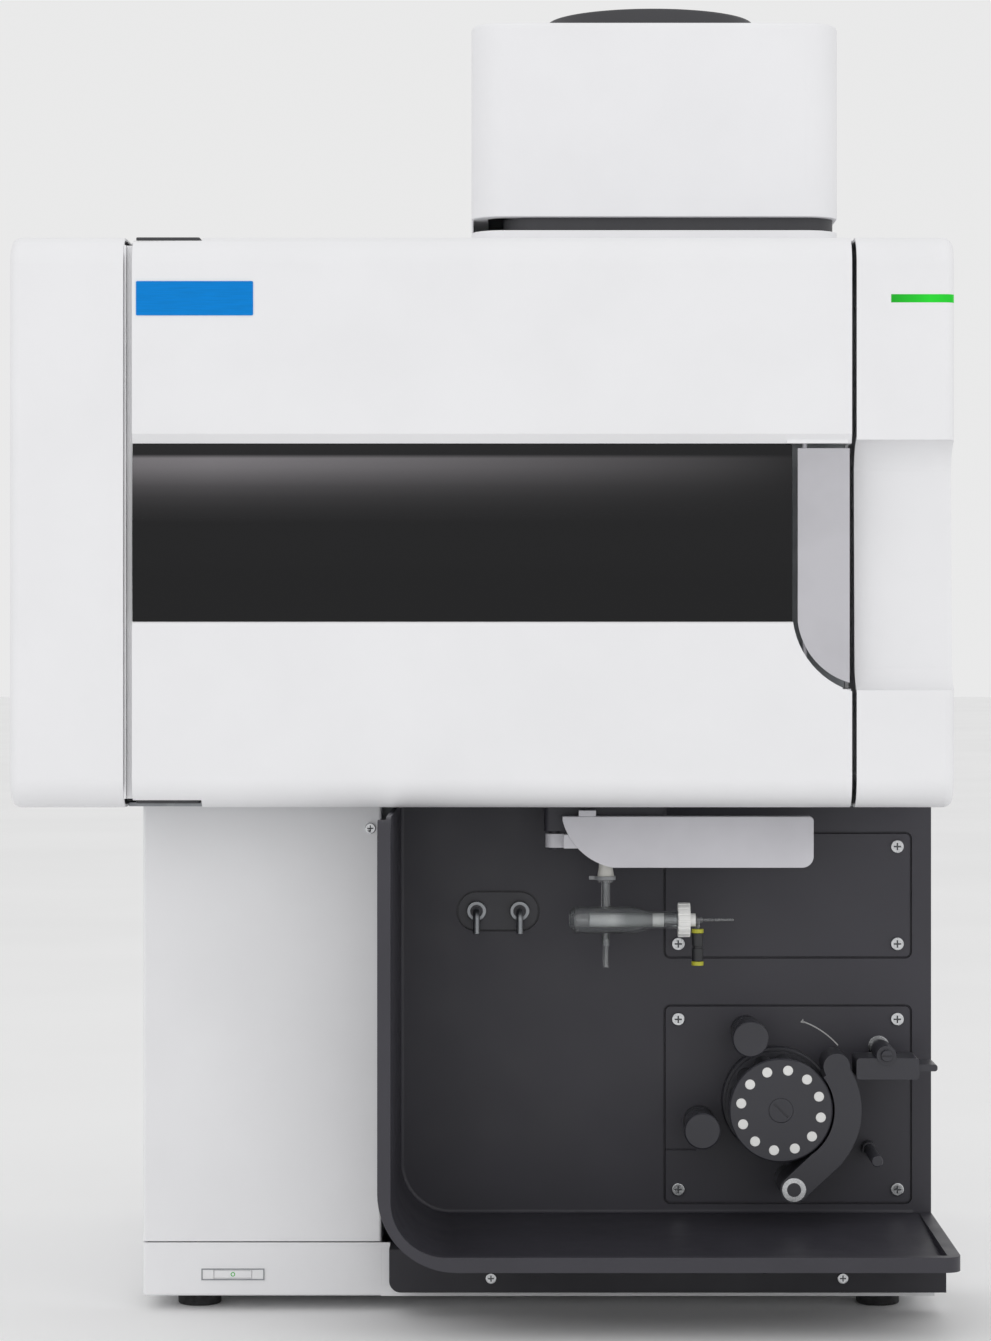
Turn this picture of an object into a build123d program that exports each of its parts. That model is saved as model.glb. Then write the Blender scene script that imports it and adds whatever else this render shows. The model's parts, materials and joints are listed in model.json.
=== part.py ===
from build123d import *
import os
from math import atan2, cos, degrees, pi, radians, sin, sqrt

os.makedirs("parts", exist_ok=True)

# Bench-top plasma spectrometer, in millimetres.
# X runs to the right seen from the front, Y to the back, Z up from the bench.
# The origin lies on the bench under the middle of the cabinet.

# Upper cabinet
body_width = 800.0
body_bottom = 443.0
body_top = 928.0
front_y = -317.0
back_y = 370.0
edge_round = 25.0
side_round = 8.0
cover_wall = 3.0
sheet = 2.0
seam = 0.5
fit = 0.2
overrun = 5.0
bearing_gap = 0.05
touch_gap = 0.3
half_width = body_width / 2

# Side caps and the door between them
left_cap_width = 96.7
right_cap_width = 83.0
door_gap_left = 7.3
door_gap_right = 4.0
door_depth = 40.0
door_heel_round = 18.0
door_left = -half_width + left_cap_width + door_gap_left
door_right = half_width - right_cap_width - door_gap_right
cap_left_edge = -half_width + left_cap_width
cap_right_edge = half_width - right_cap_width
door_back = front_y + door_depth

# Window band and its bevel
window_low = 601.0
window_height = 151.0
window_high = window_low + window_height
window_right_inset = 50.0
window_right = door_right - window_right_inset
window_sheet = 4.0
window_crown = 2.2
window_shoulder = 14.0
band_margin = 13.0
band_wall = 8.0
bevel_height = 8.0
bevel_depth = 5.0
lip_round = 2.5

# Grip of the door and the notch that it sits in
grip_gap = 4.2
notch_drop = 60.0
notch_low = window_low - notch_drop
notch_sag_reach = 15.0
notch_sag_x = window_right + notch_sag_reach
notch_sag_drop = 35.0
notch_sag_z = window_low - notch_sag_drop
grip_plate = 4.0
grip_set_back = 1.2
grip_return = 12.0
grip_side_gap = 2.0
grip_pin_reach = 10.5
grip_pin_x = window_right + grip_pin_reach
grip_pin_set_back = 8.0
grip_pin_radius = 2.0
grip_knuckle_radius = 4.5
grip_rib = 5.0
grip_rib_depth = 20.0
grip_foot_drop = 12.0
grip_edge = 0.6

# Door hinges
hinge_inset = 40.0
hinge_set_back = 20.0
hinge_pin_radius = 4.0
hinge_boss_radius = 9.0
hinge_boss_length = 34.0
hinge_plate = 2.5
hinge_plate_half = 16.0
hinge_plate_reach = 38.0
hinge_plate_nose = 6.0
hinge_notch = 3.5
hinge_notch_length = 58.0
hinge_pin_depth = 28.0
hinge_low_lift = 3.2
hinge_x = door_left + hinge_inset
hinge_y = front_y + hinge_set_back

# Finger scoop in the right cap
scoop_drop = 58.0
scoop_low = window_low - scoop_drop
scoop_rise = 3.0
scoop_high = window_high + scoop_rise
scoop_depth = 30.0
scoop_floor_depth = 23.0
scoop_top_run = 26.0
scoop_low_run = 20.0

# Light bar and badge
light_length = 54.0
light_left = half_width - light_length
light_drop = 57.0
light_low = body_top - light_drop
light_height = 7.0
light_side = 18.0
light_bar_depth = 2.2
badge_inset = 3.5
badge_left = door_left + badge_inset
badge_width = 99.0
badge_drop = 68.0
badge_low = body_top - badge_drop
badge_height = 29.0
badge_sheet = 0.8
badge_round = 1.0

# Exhaust chimney
chimney_right_inset = 2.4
chimney_width = 326.2
chimney_left = cap_right_edge - chimney_right_inset - chimney_width
chimney_front = -167.0
chimney_depth = 308.0
chimney_lift = 32.0
chimney_height = 172.0
chimney_low = body_top + chimney_lift
chimney_high = chimney_low + chimney_height
chimney_round = 30.0
chimney_top_round = 4.0
chimney_wall = 2.5
chimney_lip = 15.0
chimney_base_height = 20.0
chimney_base_low = body_top
pedestal_left_gap = 28.6
pedestal_side_inset = 3.6
pedestal_front_inset = 9.0
pedestal_wall = 12.0
collar_radius = 95.0
collar_height = 22.0
collar_edge = 2.0
flue_radius = 90.0
flue_wall = 2.0
flue_y = -13.0
flue_x = chimney_left + chimney_width / 2
chimney_base_high = chimney_base_low + chimney_base_height
skirt_left = 1.8
skirt_drop = 11.0

# Upper frame
bulkhead_y = -250.0
upper_floor_sheet = 3.5
rear_recess = 20.0
cap_back_trim = 4.0
torch_window_low = 462.0
torch_window_high = 756.0

# Torch compartment
torch_right_inset = 293.0
torch_x = half_width - torch_right_inset
torch_y = -196.0
torch_box_width = 180.0
torch_box_depth = 145.0
torch_box_height = 313.5
torch_box_high = body_bottom + upper_floor_sheet + torch_box_height
torch_box_wall = 3.0
torch_hole_radius = 14.0
torch_window_inset = 4.0
duct_low_radius = 50.0
duct_low_y = -172.0
duct_wall = 2.0
snout_radius = 13.0
snout_flare = 21.0
snout_bore = 6.0
plasma_z = 585.0

# Torch
torch_base_radius = 12.5
torch_base_low = 396.0
torch_base_high = 452.0
torch_tube_radius = 10.0
torch_tube_wall = 1.2
torch_tube_top = 568.0
torch_inner_radius = 6.5
torch_inner_top = 545.0
cup_radius = 8.0
cup_low = 375.0
cup_high = 386.0
cup_bore = 2.2

# Induction coil
coil_turns = 4
coil_radius = 14.5
coil_tube = 1.6
coil_pitch = 5.2
coil_low = 540.0
coil_leg_gap = 12.0
coil_bend = 6.0

# Torch clamp and its handle
clamp_left_reach = 54.0
clamp_left = torch_x - clamp_left_reach
clamp_right_reach = 53.0
clamp_right = torch_x + clamp_right_reach
clamp_front = -212.5
clamp_back = -152.0
clamp_low = 418.0
clamp_round = 5.0
handle_left_reach = 38.0
handle_left = torch_x - handle_left_reach
handle_right_reach = 180.3
handle_right = torch_x + handle_right_reach
handle_low = 387.2
handle_high = 432.0
handle_front = -227.0
handle_depth = 14.0
handle_wall = 2.5
handle_top_round = 4.0
handle_low_round = 10.0
handle_tip_height = 4.0
handle_toe_reach = 6.0
handle_toe = torch_x + handle_toe_reach
handle_sag_reach = 20.5
handle_sag_x = torch_x - handle_sag_reach
handle_sag_z = 400.0
handle_tab_reach = 24.0
handle_tab_left = torch_x - handle_tab_reach
handle_tab_width = 15.0
handle_tab_height = 5.0
handle_pin_reach = 45.0
handle_pin_x = torch_x - handle_pin_reach
handle_pin_y = -206.0
handle_pin_radius = 3.0
handle_lug_radius = 8.0
handle_lug_low = 404.0
handle_lug_high = 416.0
handle_pin_head = 1.6
handle_pin_head_radius = 5.0

# Spray chamber, nebuliser and their connections
chamber_z = 339.6
chamber_left_reach = 32.0
chamber_left = torch_x - chamber_left_reach
chamber_radius = 12.0
chamber_wall = 1.3
chamber_shoulder_reach = 25.0
chamber_shoulder = torch_x + chamber_shoulder_reach
chamber_neck_reach = 40.6
chamber_neck_start = torch_x + chamber_neck_reach
chamber_neck_radius = 7.5
chamber_right_reach = 65.0
chamber_right = torch_x + chamber_right_reach
chamber_end_round = 5.0
riser_radius = 3.8
riser_flange_radius = 6.0
riser_flange = 2.0
riser_flange_drop = 25.0
inner_tube_reach = 14.0
inner_tube_left = torch_x - inner_tube_reach
drain_radius = 3.5
drain_low = 316.8
drain_tip_radius = 2.3
drain_tip_low = 297.9
drain_tip_lap = 3.0
nut_reach = 63.3
nut_left = torch_x + nut_reach
nut_width = 10.7
nut_radius = 15.1
nut_ribs = 16
nut_rib_radius = 1.1
nut_collar_radius = 5.7
nut_collar = 4.8
seal_reach = 41.0
seal_left = torch_x + seal_reach
seal_width = 10.0
nebuliser_radius = 2.6
nebuliser_tip_reach = 21.0
nebuliser_tip_left = torch_x + nebuliser_tip_reach
capillary_radius = 1.2
capillary_reach = 112.5
capillary_right = torch_x + capillary_reach
side_arm_reach = 80.6
side_arm_x = torch_x + side_arm_reach
side_arm_radius = 1.8
connector_radius = 5.0
connector_flange_radius = 5.3
connector_flange = 3.5
connector_high = 331.7
connector_low = 299.8
connector_gap = 0.9
clip_radius = 9.6
clip_height = 3.2
clip_tail = 5.0
clip_tail_width = 2.4

# Sample compartment moulding
liner_back_y = -126.0
liner_front = -370.0
liner_width = 475.5
liner_right = half_width
liner_left = liner_right - liner_width
liner_low = 59.3
liner_high = 438.0
liner_wall = 4.0
rim_width = 11.0
rim_height = 12.7
rim_depth = 10.6
liner_corner = 55.0
floor_front = 62.6
floor_back = 71.6
liner_back_round = 3.5
rim_corner = 20.0
tray_corner = 14.0
liner_back_face = liner_back_y + liner_wall

# Box under the tray
box_left_reach = 5.5
box_left = liner_left - box_left_reach
box_front = -251.0
box_round = 10.0
box_wall = 3.0
box_rivets = 6
box_rivet_first = 47.5
box_rivet_step = 60.0
box_rivet_radius = 1.0
box_rivet_z = 36.0
box_screw_x = 7.0
box_screw_gap = 303.6
box_screw_z = 34.6

# Plates on the back wall
plate_gap = 1.9
plate_round = 4.5
plate_lap = 6.0
plate_lap_sheet = 2.0
plate_screw_inset = 11.4
access_reach = 238.0
access_left = liner_right - access_reach
access_low = 301.5
access_width = 219.0
access_height = 110.0
pump_plate_reach = 238.0
pump_plate_left = liner_right - pump_plate_reach
pump_plate_low = 81.5
pump_plate_width = 219.0
pump_plate_height = 175.3
plate_slot_z = 128.6
plate_slot_length = 27.0
plate_slot_height = 1.3
port_inset = 52.2
port_left = liner_left + port_inset
port_width = 70.9
port_low = 326.0
port_height = 33.0
port_spacing = 38.6
port_ring_radius = 8.8
port_ring_bore = 5.7
port_ring_depth = 6.0
elbow_radius = 3.0
elbow_reach = 18.0
elbow_bend = 6.0
elbow_drop = 19.0

# Screws with a round head and a cross recess
screw_head_radius = 6.0
screw_head = 2.4
screw_crown = 1.0
screw_shank_radius = 2.0
screw_shank = 3.6
screw_cross = 6.6
screw_cross_width = 1.4
screw_cross_depth = 1.1
small_screw_share = 0.8

# Peristaltic pump
pump_inset = 98.5
pump_x = pump_plate_left + pump_inset
pump_z = 173.1
pump_front = -202.0
pump_flange_radius = 48.7
pump_flange = 12.0
rotor_radius = 45.4
rotor_front_disc = 6.0
rotor_back_disc = 4.0
rotor_hub_radius = 22.0
rotor_gap = 2.0
rotor_edge = 1.2
roller_count = 12
roller_first_angle = 20.0
roller_ring = 35.4
roller_radius = 8.3
roller_pin_radius = 4.4
roller_side_gap = 0.4
roller_pin_gap = 0.08
spindle_radius = 5.0
rotor_screw_radius = 10.7
rotor_screw_head = 1.8
rotor_screw_angle = -44.0
rotor_screw_slot = 1.6
rotor_screw_slot_depth = 1.0
rotor_screw_seat = 1.4
motor_radius = 32.0
motor_length = 78.0
motor_cap = 4.0
track_gap = 1.7
arm_width = 23.5
arm_depth = 50.0
arm_end_angle = 38.0
arm_end_radius = 11.7
arm_end_lift = 3.2
arm_low_angle = -42.0
arm_pivot_reach = 11.4
arm_pivot_x = pump_x + arm_pivot_reach
arm_pivot_drop = 69.5
arm_pivot_z = pump_z - arm_pivot_drop
arm_pivot_radius = 6.0
arm_boss_radius = 12.0
ring_outer = 10.5
ring_depth = 1.2
shaft_reach = 92.4
shaft_x = pump_x + shaft_reach
shaft_rise = 48.1
shaft_z = pump_z + shaft_rise
shaft_radius = 5.0
shaft_front = -207.0
shaft_ring_outer = 9.4
shaft_ring_inner = 7.2
shaft_slot = 1.4
shaft_slot_depth = 1.2
lever_left_reach = 26.2
lever_left = shaft_x - lever_left_reach
lever_right_reach = 28.7
lever_right = shaft_x + lever_right_reach
lever_drop = 21.0
lever_low = shaft_z - lever_drop
lever_top_drop = 2.4
lever_high = shaft_z - lever_top_drop
lever_depth = 48.0
lever_round = 3.0
lever_hub_radius = 8.6
lever_tip_reach = 45.1
lever_tip = shaft_x + lever_tip_reach
lever_tip_drop = 14.2
lever_tip_low = shaft_z - lever_tip_drop
lever_tip_top_drop = 8.2
lever_tip_high = shaft_z - lever_tip_top_drop
post_one_reach = 26.6
post_one_x = pump_x - post_one_reach
post_one_rise = 62.3
post_one_z = pump_z + post_one_rise
post_two_reach = 68.8
post_two_x = pump_x - post_two_reach
post_two_drop = 18.4
post_two_z = pump_z - post_two_drop
post_head_radius = 15.9
post_head = 9.0
post_radius = 13.6
post_grooves = 5
post_groove = 5.0
post_groove_depth = 2.6
post_groove_step = 10.5
post_edge = 1.2
stop_reach = 82.9
stop_x = pump_x + stop_reach
stop_drop = 42.4
stop_z = pump_z - stop_drop
stop_radius = 5.0
stop_front = -219.0
stop_base_radius = 6.5
stop_base = 16.0
stop_edge = 0.8

# Lower cabinet
lower_left_inset = 103.0
lower_left = -half_width + lower_left_inset
lower_front = -215.0
lower_right_inset = 1.0
lower_right_side = half_width - lower_right_inset
panel_low = 60.6
panel_high = 441.5
panel_gap = 13.5
panel_right = liner_left - panel_gap
panel_flange = 18.0
panel_round = 2.5
panel_screw_drop = 20.5
panel_screw_inset = 9.6
base_low = 13.0
base_right_inset = 5.4
base_right = lower_right_side - base_right_inset
base_left_height = 46.6
base_right_height = 9.0
base_sheet = 2.5
lower_panel_back = 366.0
rear_cover_y = back_y - rear_recess

# Feet
foot_radius = 19.0
foot_inset_x = 46.0
foot_inset_y = 42.0
foot_edge = 2.0

# Power button
bezel_inset = 51.0
bezel_left = lower_left + bezel_inset
bezel_width = 55.0
bezel_low = 26.9
bezel_height = 10.2
bezel_proud = 1.0
bezel_round = 1.2
bezel_body_depth = 16.0
bezel_body_wall = 1.6
button_width = 33.0
button_height = 7.0
button_gap = 0.25
button_body = 10.0
button_travel = 1.5
button_edge = 0.6

# Welded frame of the lower cabinet
bar = 20.0
frame_front = -118.0

# Optics and electronics
optics_left_gap = 23.3
optics_left = cap_left_edge + optics_left_gap
optics_right_gap = 77.0
optics_right = cap_right_edge - optics_right_gap
optics_front = -95.0
optics_back = 250.0
optics_high = 700.0
optics_wall = 8.0
optics_lid = 6.0
optics_round = 12.0
optics_foot = 10.0
optics_ribs = 5
optics_rib = 5.0
detector_x = -150.0
detector_y = 100.0
detector_radius = 42.0
detector_height = 60.0
detector_fins = 4
detector_fin = 3.0
detector_fin_step = 9.0
detector_fin_depth = 6.0
rf_left_gap = 23.3
rf_left = cap_left_edge + rf_left_gap
rf_right = 5.0
rf_front = -240.0
rf_back = -105.0
rf_high = 880.0
rf_slot_count = 8
rf_slot_length = 160.0
rf_slot_height = 6.0
rf_slot_step = 16.0
supply_left_inset = 289.0
supply_left = lower_right_side - supply_left_inset
supply_right_inset = 33.0
supply_right = lower_right_side - supply_right_inset
supply_front = 90.0
supply_back = 320.0
supply_high = 180.0
board_inset = 47.0
board_left = lower_left + board_inset
board_right = 30.0
board_high = 300.0
board_sheet = 1.6
board_chip = 26.0
board_chip_height = 6.0
board_chip_step = 60.0
manifold_inset = 35.5
manifold_left = liner_left + manifold_inset
manifold_width = 104.0
manifold_depth = 46.0
manifold_low = 312.0
manifold_height = 62.0

# Cooling fan in the rear cover
fan_right_inset = 160.0
fan_x = half_width - fan_right_inset
fan_z = 300.0
fan_size = 120.0
fan_depth = 25.0
fan_bore = 57.0
fan_round = 6.0
fan_hub_radius = 20.0
fan_blade_radius = 54.5
fan_blades = 7
fan_blade_sheet = 1.8
fan_blade_chord = 22.0
fan_blade_pitch = 35.0
fan_rotor_depth = 19.0
fan_stator_radius = 18.0
fan_stator = 3.0
fan_strut = 5.0
fan_pin_radius = 2.5
grille_rings = 5
grille_wire = 1.4
grille_step = 11.0
grille_first = 10.0
grille_tab = 5.0

# Rear connections
inlet_step = 180.0
inlet_x = fan_x - inlet_step
inlet_z = 72.0
inlet_width = 48.0
inlet_height = 32.0
inlet_depth = 28.0
inlet_flange = 3.0
inlet_well_width = 27.0
inlet_well_height = 19.0
inlet_well_depth = 16.0
inlet_pin_width = 2.0
inlet_pin_height = 4.0
inlet_pin_step = 7.0
inlet_pin_length = 13.0
switch_step = 62.0
switch_x = inlet_x + switch_step
switch_width = 22.0
switch_height = 30.0
switch_wall = 2.0
rocker_pivot_depth = 3.0
rocker_rise = 5.0
rocker_dip = 1.5
switch_flange = 2.0
switch_depth = 20.0
rocker_pin_radius = 1.5
rocker_gap = 0.35
rocker_tilt = 9.0
rocker_slab = 5.0
gas_inlet_inset = 77.0
gas_inlet_x = lower_left + gas_inlet_inset
gas_inlet_z = 220.0
gas_inlet_step = 50.0
gas_inlets = 3
gas_hex_radius = 10.0
gas_hex = 7.0
gas_thread_radius = 6.0
gas_stem = 18.0
gas_bore = 2.5
water_inlet_z = 130.0
water_inlets = 2
water_radius = 8.0
water_barbs = 3
water_barb = 4.0
slot_count = 9
slot_length = 150.0
slot_height = 5.0
slot_step = 14.0
upper_slot_x = -180.0
upper_slot_z = 760.0


def block(x0, x1, y0, y1, z0, z1, mode=Mode.ADD):
    """Straight block between two corners."""
    with Locations(((x0 + x1) / 2, (y0 + y1) / 2, (z0 + z1) / 2)):
        return Box(x1 - x0, y1 - y0, z1 - z0, mode=mode)


def rod_y(x, z, y0, y1, radius, mode=Mode.ADD):
    """Round bar that runs from front to back."""
    with Locations(Location((x, (y0 + y1) / 2, z), (90, 0, 0))):
        return Cylinder(radius, y1 - y0, mode=mode)


def rod_z(x, y, z0, z1, radius, mode=Mode.ADD):
    """Upright round bar."""
    with Locations((x, y, (z0 + z1) / 2)):
        return Cylinder(radius, z1 - z0, mode=mode)


def near(edges, axis, value, reach=0.01):
    """Edges whose middle lies at one coordinate."""
    return ShapeList(e for e in edges if abs(getattr(e.center(), axis) - value) < reach)


def front_plane(y):
    """Sketch plane that faces the viewer, with X right and Z up."""
    return Plane(origin=(0, y, 0), x_dir=(1, 0, 0), z_dir=(0, -1, 0))


def side_plane(x):
    """Sketch plane that faces right, with Y across and Z up."""
    return Plane(origin=(x, 0, 0), x_dir=(0, 1, 0), z_dir=(1, 0, 0))


def cap_block(x_outer, x_inner, inset):
    """Body of a side cap: long front edges and the outer outline rounded, all faces set in."""
    outward = 1 if x_outer > x_inner else -1
    x_out = x_outer - outward * inset
    with BuildPart() as cap:
        block(
            min(x_out, x_inner), max(x_out, x_inner),
            front_y + inset, back_y - cap_back_trim - inset,
            body_bottom + inset, body_top - inset,
        )
        long_edges = cap.edges().filter_by(Axis.X)
        fillet(near(long_edges, "Y", front_y + inset), edge_round - inset)
        outer_face = cap.faces().filter_by(Axis.X).sort_by(Axis.X)[-1 if outward > 0 else 0]
        fillet(outer_face.outer_wire().edges(), side_round - inset)
    return cap.part


def scoop_tool(inset):
    """Finger scoop seen from the side, as a bar through the whole right cap."""
    with BuildPart() as scoop:
        with BuildSketch(side_plane(cap_right_edge - overrun)):
            with BuildLine():
                outside = front_y - overrun
                low_lip = (front_y, scoop_low)
                high_lip = (front_y, scoop_high)
                low_floor = (front_y + scoop_floor_depth, scoop_low + scoop_low_run)
                high_floor = (front_y + scoop_depth, scoop_high - scoop_top_run)
                Line((outside, scoop_low), low_lip)
                RadiusArc(low_lip, low_floor, -scoop_low_run * sqrt(2))
                Line(low_floor, high_floor)
                RadiusArc(high_floor, high_lip, -scoop_depth)
                Line(high_lip, (outside, scoop_high))
                Line((outside, scoop_high), (outside, scoop_low))
            make_face()
            if inset > 0:
                offset(amount=inset)
        extrude(amount=right_cap_width + 2 * overrun)
    return scoop.part


# Left side cap: a moulded shell, open towards the cabinet
left_outer = cap_block(-half_width, cap_left_edge, 0)
left_inner = cap_block(-half_width, cap_left_edge + overrun, cover_wall)
with BuildPart() as left_side_cap:
    add(left_outer)
    add(left_inner, mode=Mode.SUBTRACT)
left_side_cap.part.label = "left_side_cap"
export_step(left_side_cap.part, "parts/left_side_cap.step")

# Light bar: wraps round the front corner of the right cap
with BuildPart() as status_light_bar:
    with BuildSketch(Plane.XY.offset(light_low)):
        with BuildLine():
            corner_x = half_width - side_round
            corner_y = front_y + side_round
            Line((light_left, front_y), (corner_x, front_y))
            RadiusArc((corner_x, front_y), (half_width, corner_y), -side_round)
            Line((half_width, corner_y), (half_width, corner_y + light_side))
            offset(amount=light_bar_depth, side=Side.LEFT, closed=True)
        make_face()
    extrude(amount=light_height)
light_recess = status_light_bar.part
status_light_bar.part.label = "status_light_bar"
export_step(status_light_bar.part, "parts/status_light_bar.step")

# Right side cap: the same shell with the finger scoop and a rebate for the light bar
right_outer = cap_block(half_width, cap_right_edge, 0)
right_inner = cap_block(half_width, cap_right_edge - overrun, cover_wall)
scoop = scoop_tool(0)
scoop_wall = scoop_tool(cover_wall)
with BuildPart() as right_hollow:
    add(right_inner)
    add(scoop_wall, mode=Mode.SUBTRACT)
with BuildPart() as right_side_cap:
    add(right_outer)
    add(scoop, mode=Mode.SUBTRACT)
    add(right_hollow.part, mode=Mode.SUBTRACT)
    add(light_recess, mode=Mode.SUBTRACT)
right_side_cap.part.label = "right_side_cap"
export_step(right_side_cap.part, "parts/right_side_cap.step")


def door_block(inset, back):
    """Door between its side edges, with the long front edges rounded."""
    with BuildPart() as slab:
        block(
            door_left + inset, door_right - inset, front_y + inset, back,
            body_bottom + inset, body_top - inset,
        )
        fillet(near(slab.edges().filter_by(Axis.X), "Y", front_y + inset), edge_round - inset)
        if inset == 0:
            heel = near(slab.edges().filter_by(Axis.Z), "X", door_left)
            fillet(near(heel, "Y", back), door_heel_round)
    return slab.part


def notch_outline(inset):
    """Notch at the right end of the door, or the grip that fills it when set in."""
    left = window_right + inset
    right = door_right + (overrun if inset == 0 else -grip_side_gap)
    high = window_high - inset
    corner = (left, window_low)
    sag = (notch_sag_x + inset * sin(pi / 4), notch_sag_z + inset * sin(pi / 4))
    toe = (right, notch_low + inset * 2)
    with BuildSketch(front_plane(0)) as outline:
        with BuildLine():
            Line(corner, (left, high))
            Line((left, high), (right, high))
            Line((right, high), toe)
            ThreePointArc(toe, sag, corner)
        make_face()
    return outline.sketch


# Door shell
door_outer = door_block(0, door_back)
door_hollow = door_block(cover_wall, door_back + overrun)
grip_notch = notch_outline(0)
top_plate_z = body_top - hinge_notch
low_plate_z = body_bottom + hinge_notch + hinge_low_lift
rib_left = window_right - grip_rib
with BuildPart() as door_cavity:
    add(door_hollow)
    block(
        door_left, door_right, front_y, front_y + band_wall,
        window_low - band_margin, window_high + band_margin, Mode.SUBTRACT,
    )
with BuildPart() as door_shell:
    add(door_outer)
    add(door_cavity.part, mode=Mode.SUBTRACT)
    # Opening of the window band, through the left return too
    block(
        door_left - overrun, window_right, front_y - overrun, front_y + band_wall + overrun,
        window_low, window_high, Mode.SUBTRACT,
    )
    # Bevel over the window and the grip, and the softened lip below the window
    with BuildSketch(side_plane(door_left - overrun)):
        with BuildLine():
            Polyline(
                (front_y - overrun, window_high - overrun),
                (front_y + bevel_depth, window_high - overrun),
                (front_y + bevel_depth, window_high),
                (front_y, window_high + bevel_height),
                (front_y - overrun, window_high + bevel_height),
                close=True,
            )
        make_face()
    extrude(amount=door_right - door_left + 2 * overrun, mode=Mode.SUBTRACT)
    lip = near(near(door_shell.edges().filter_by(Axis.X), "Z", window_low), "Y", front_y)
    fillet(lip, lip_round)
    # Notch for the grip
    with BuildSketch(front_plane(front_y - overrun)):
        add(grip_notch)
    extrude(amount=-(band_wall + cover_wall + overrun), mode=Mode.SUBTRACT)
    block(
        door_right - cover_wall - overrun, door_right + overrun, front_y - overrun,
        door_back - cover_wall, notch_low + cover_wall, window_high, Mode.SUBTRACT,
    )
    # Ribs that hold the grip's pin, above and below the notch
    rib_back = front_y + grip_rib_depth
    block(
        rib_left, door_right - cover_wall, front_y + cover_wall, rib_back,
        window_high, window_high + grip_rib,
    )
    rib_low = notch_sag_z - grip_foot_drop
    block(
        rib_left, grip_pin_x + grip_knuckle_radius + grip_rib, front_y + cover_wall, rib_back,
        rib_low - grip_rib, rib_low,
    )
    rod_z(
        grip_pin_x, front_y + grip_pin_set_back, rib_low - grip_rib - overrun,
        window_high + grip_rib + overrun, grip_pin_radius, Mode.SUBTRACT,
    )
    # Corners cut back for the fixed hinge plates
    block(
        door_left - overrun, door_left + hinge_notch_length, front_y - overrun,
        door_back + overrun, top_plate_z, body_top + overrun, Mode.SUBTRACT,
    )
    block(
        door_left - overrun, door_left + hinge_notch_length, front_y - overrun,
        door_back + overrun, body_bottom - overrun, low_plate_z, Mode.SUBTRACT,
    )
    # Hinge bosses
    for z_start, z_end in (
        (top_plate_z - hinge_boss_length, top_plate_z),
        (low_plate_z, low_plate_z + hinge_boss_length),
    ):
        rod_z(hinge_x, hinge_y, z_start, z_end, hinge_boss_radius)
        block(
            door_left + cover_wall / 2, hinge_x, hinge_y, hinge_y + hinge_boss_radius / 2,
            z_start, z_end,
        )
    add(cap_block(-half_width, door_right, 0), mode=Mode.INTERSECT)
    rod_z(
        hinge_x, hinge_y, body_bottom, body_bottom + hinge_low_lift + hinge_pin_depth,
        hinge_pin_radius + bearing_gap, Mode.SUBTRACT,
    )
    rod_z(
        hinge_x, hinge_y, body_top - hinge_pin_depth, body_top,
        hinge_pin_radius + bearing_gap, Mode.SUBTRACT,
    )
door_shell.part.label = "door_shell"
export_step(door_shell.part, "parts/door_shell.step")

# Inner panel that closes the door from behind
inner_left = door_left + door_heel_round + hinge_inset / 2
with BuildPart() as door_inner_panel:
    block(
        inner_left, door_right - cover_wall - fit, door_back - sheet, door_back,
        low_plate_z + fit, top_plate_z - fit,
    )
    fillet(door_inner_panel.edges().filter_by(Axis.Y), side_round)
    block(
        inner_left + band_margin, window_right - band_margin, door_back - sheet - overrun,
        door_back + overrun, window_low + band_margin, window_high - band_margin, Mode.SUBTRACT,
    )
door_inner_panel.part.label = "door_inner_panel"
export_step(door_inner_panel.part, "parts/door_inner_panel.step")

# Window: one dark moulded sheet with a slight crown, seated behind the skin of the band
window_seat = front_y + band_wall
with BuildPart() as door_window:
    with BuildSketch(side_plane(door_left)):
        with BuildLine():
            low = window_low + fit
            high = window_high - fit
            face = window_seat - window_sheet
            Line((window_seat, low), (face, low))
            ThreePointArc(
                (face, low),
                (face - window_crown, (low + high - window_shoulder) / 2),
                (face, high - window_shoulder),
            )
            Line((face, high - window_shoulder), (window_seat - sheet, high))
            Line((window_seat - sheet, high), (window_seat, high))
            Line((window_seat, high), (window_seat, low))
        make_face()
    extrude(amount=window_right - door_left - fit)
    block(
        door_left + cover_wall + fit, rib_left - fit, window_seat, window_seat + sheet,
        window_low - band_margin / 2, window_high + band_margin / 2,
    )
door_window.part.label = "door_window"
export_step(door_window.part, "parts/door_window.step")

# Grip: a plate with a return, a knuckle on its left edge and a pin through it
grip_outline = notch_outline(grip_gap)
grip_face = front_y + grip_set_back
grip_pin_y = front_y + grip_pin_set_back
knuckle_high = window_high - grip_gap - grip_rib
knuckle_low = window_low + grip_rib
with BuildPart() as door_grip:
    with BuildSketch(front_plane(grip_face)):
        add(grip_outline)
    extrude(amount=-grip_plate)
    face_edges = near(door_grip.edges(), "Y", grip_face).filter_by(GeomType.LINE)
    chamfer(near(face_edges, "Z", window_high - grip_gap), grip_edge)
    rod_z(grip_pin_x, grip_pin_y, knuckle_low, knuckle_high, grip_knuckle_radius)
    block(
        door_right - grip_side_gap - grip_plate, door_right - grip_side_gap - fit,
        grip_face + grip_plate / 2, grip_face + grip_return,
        notch_sag_z, knuckle_high,
    )
    rod_z(grip_pin_x, grip_pin_y, rib_low - grip_rib, window_high + grip_rib, grip_pin_radius)
door_grip.part.label = "door_grip"
export_step(door_grip.part, "parts/door_grip.step")

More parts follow.
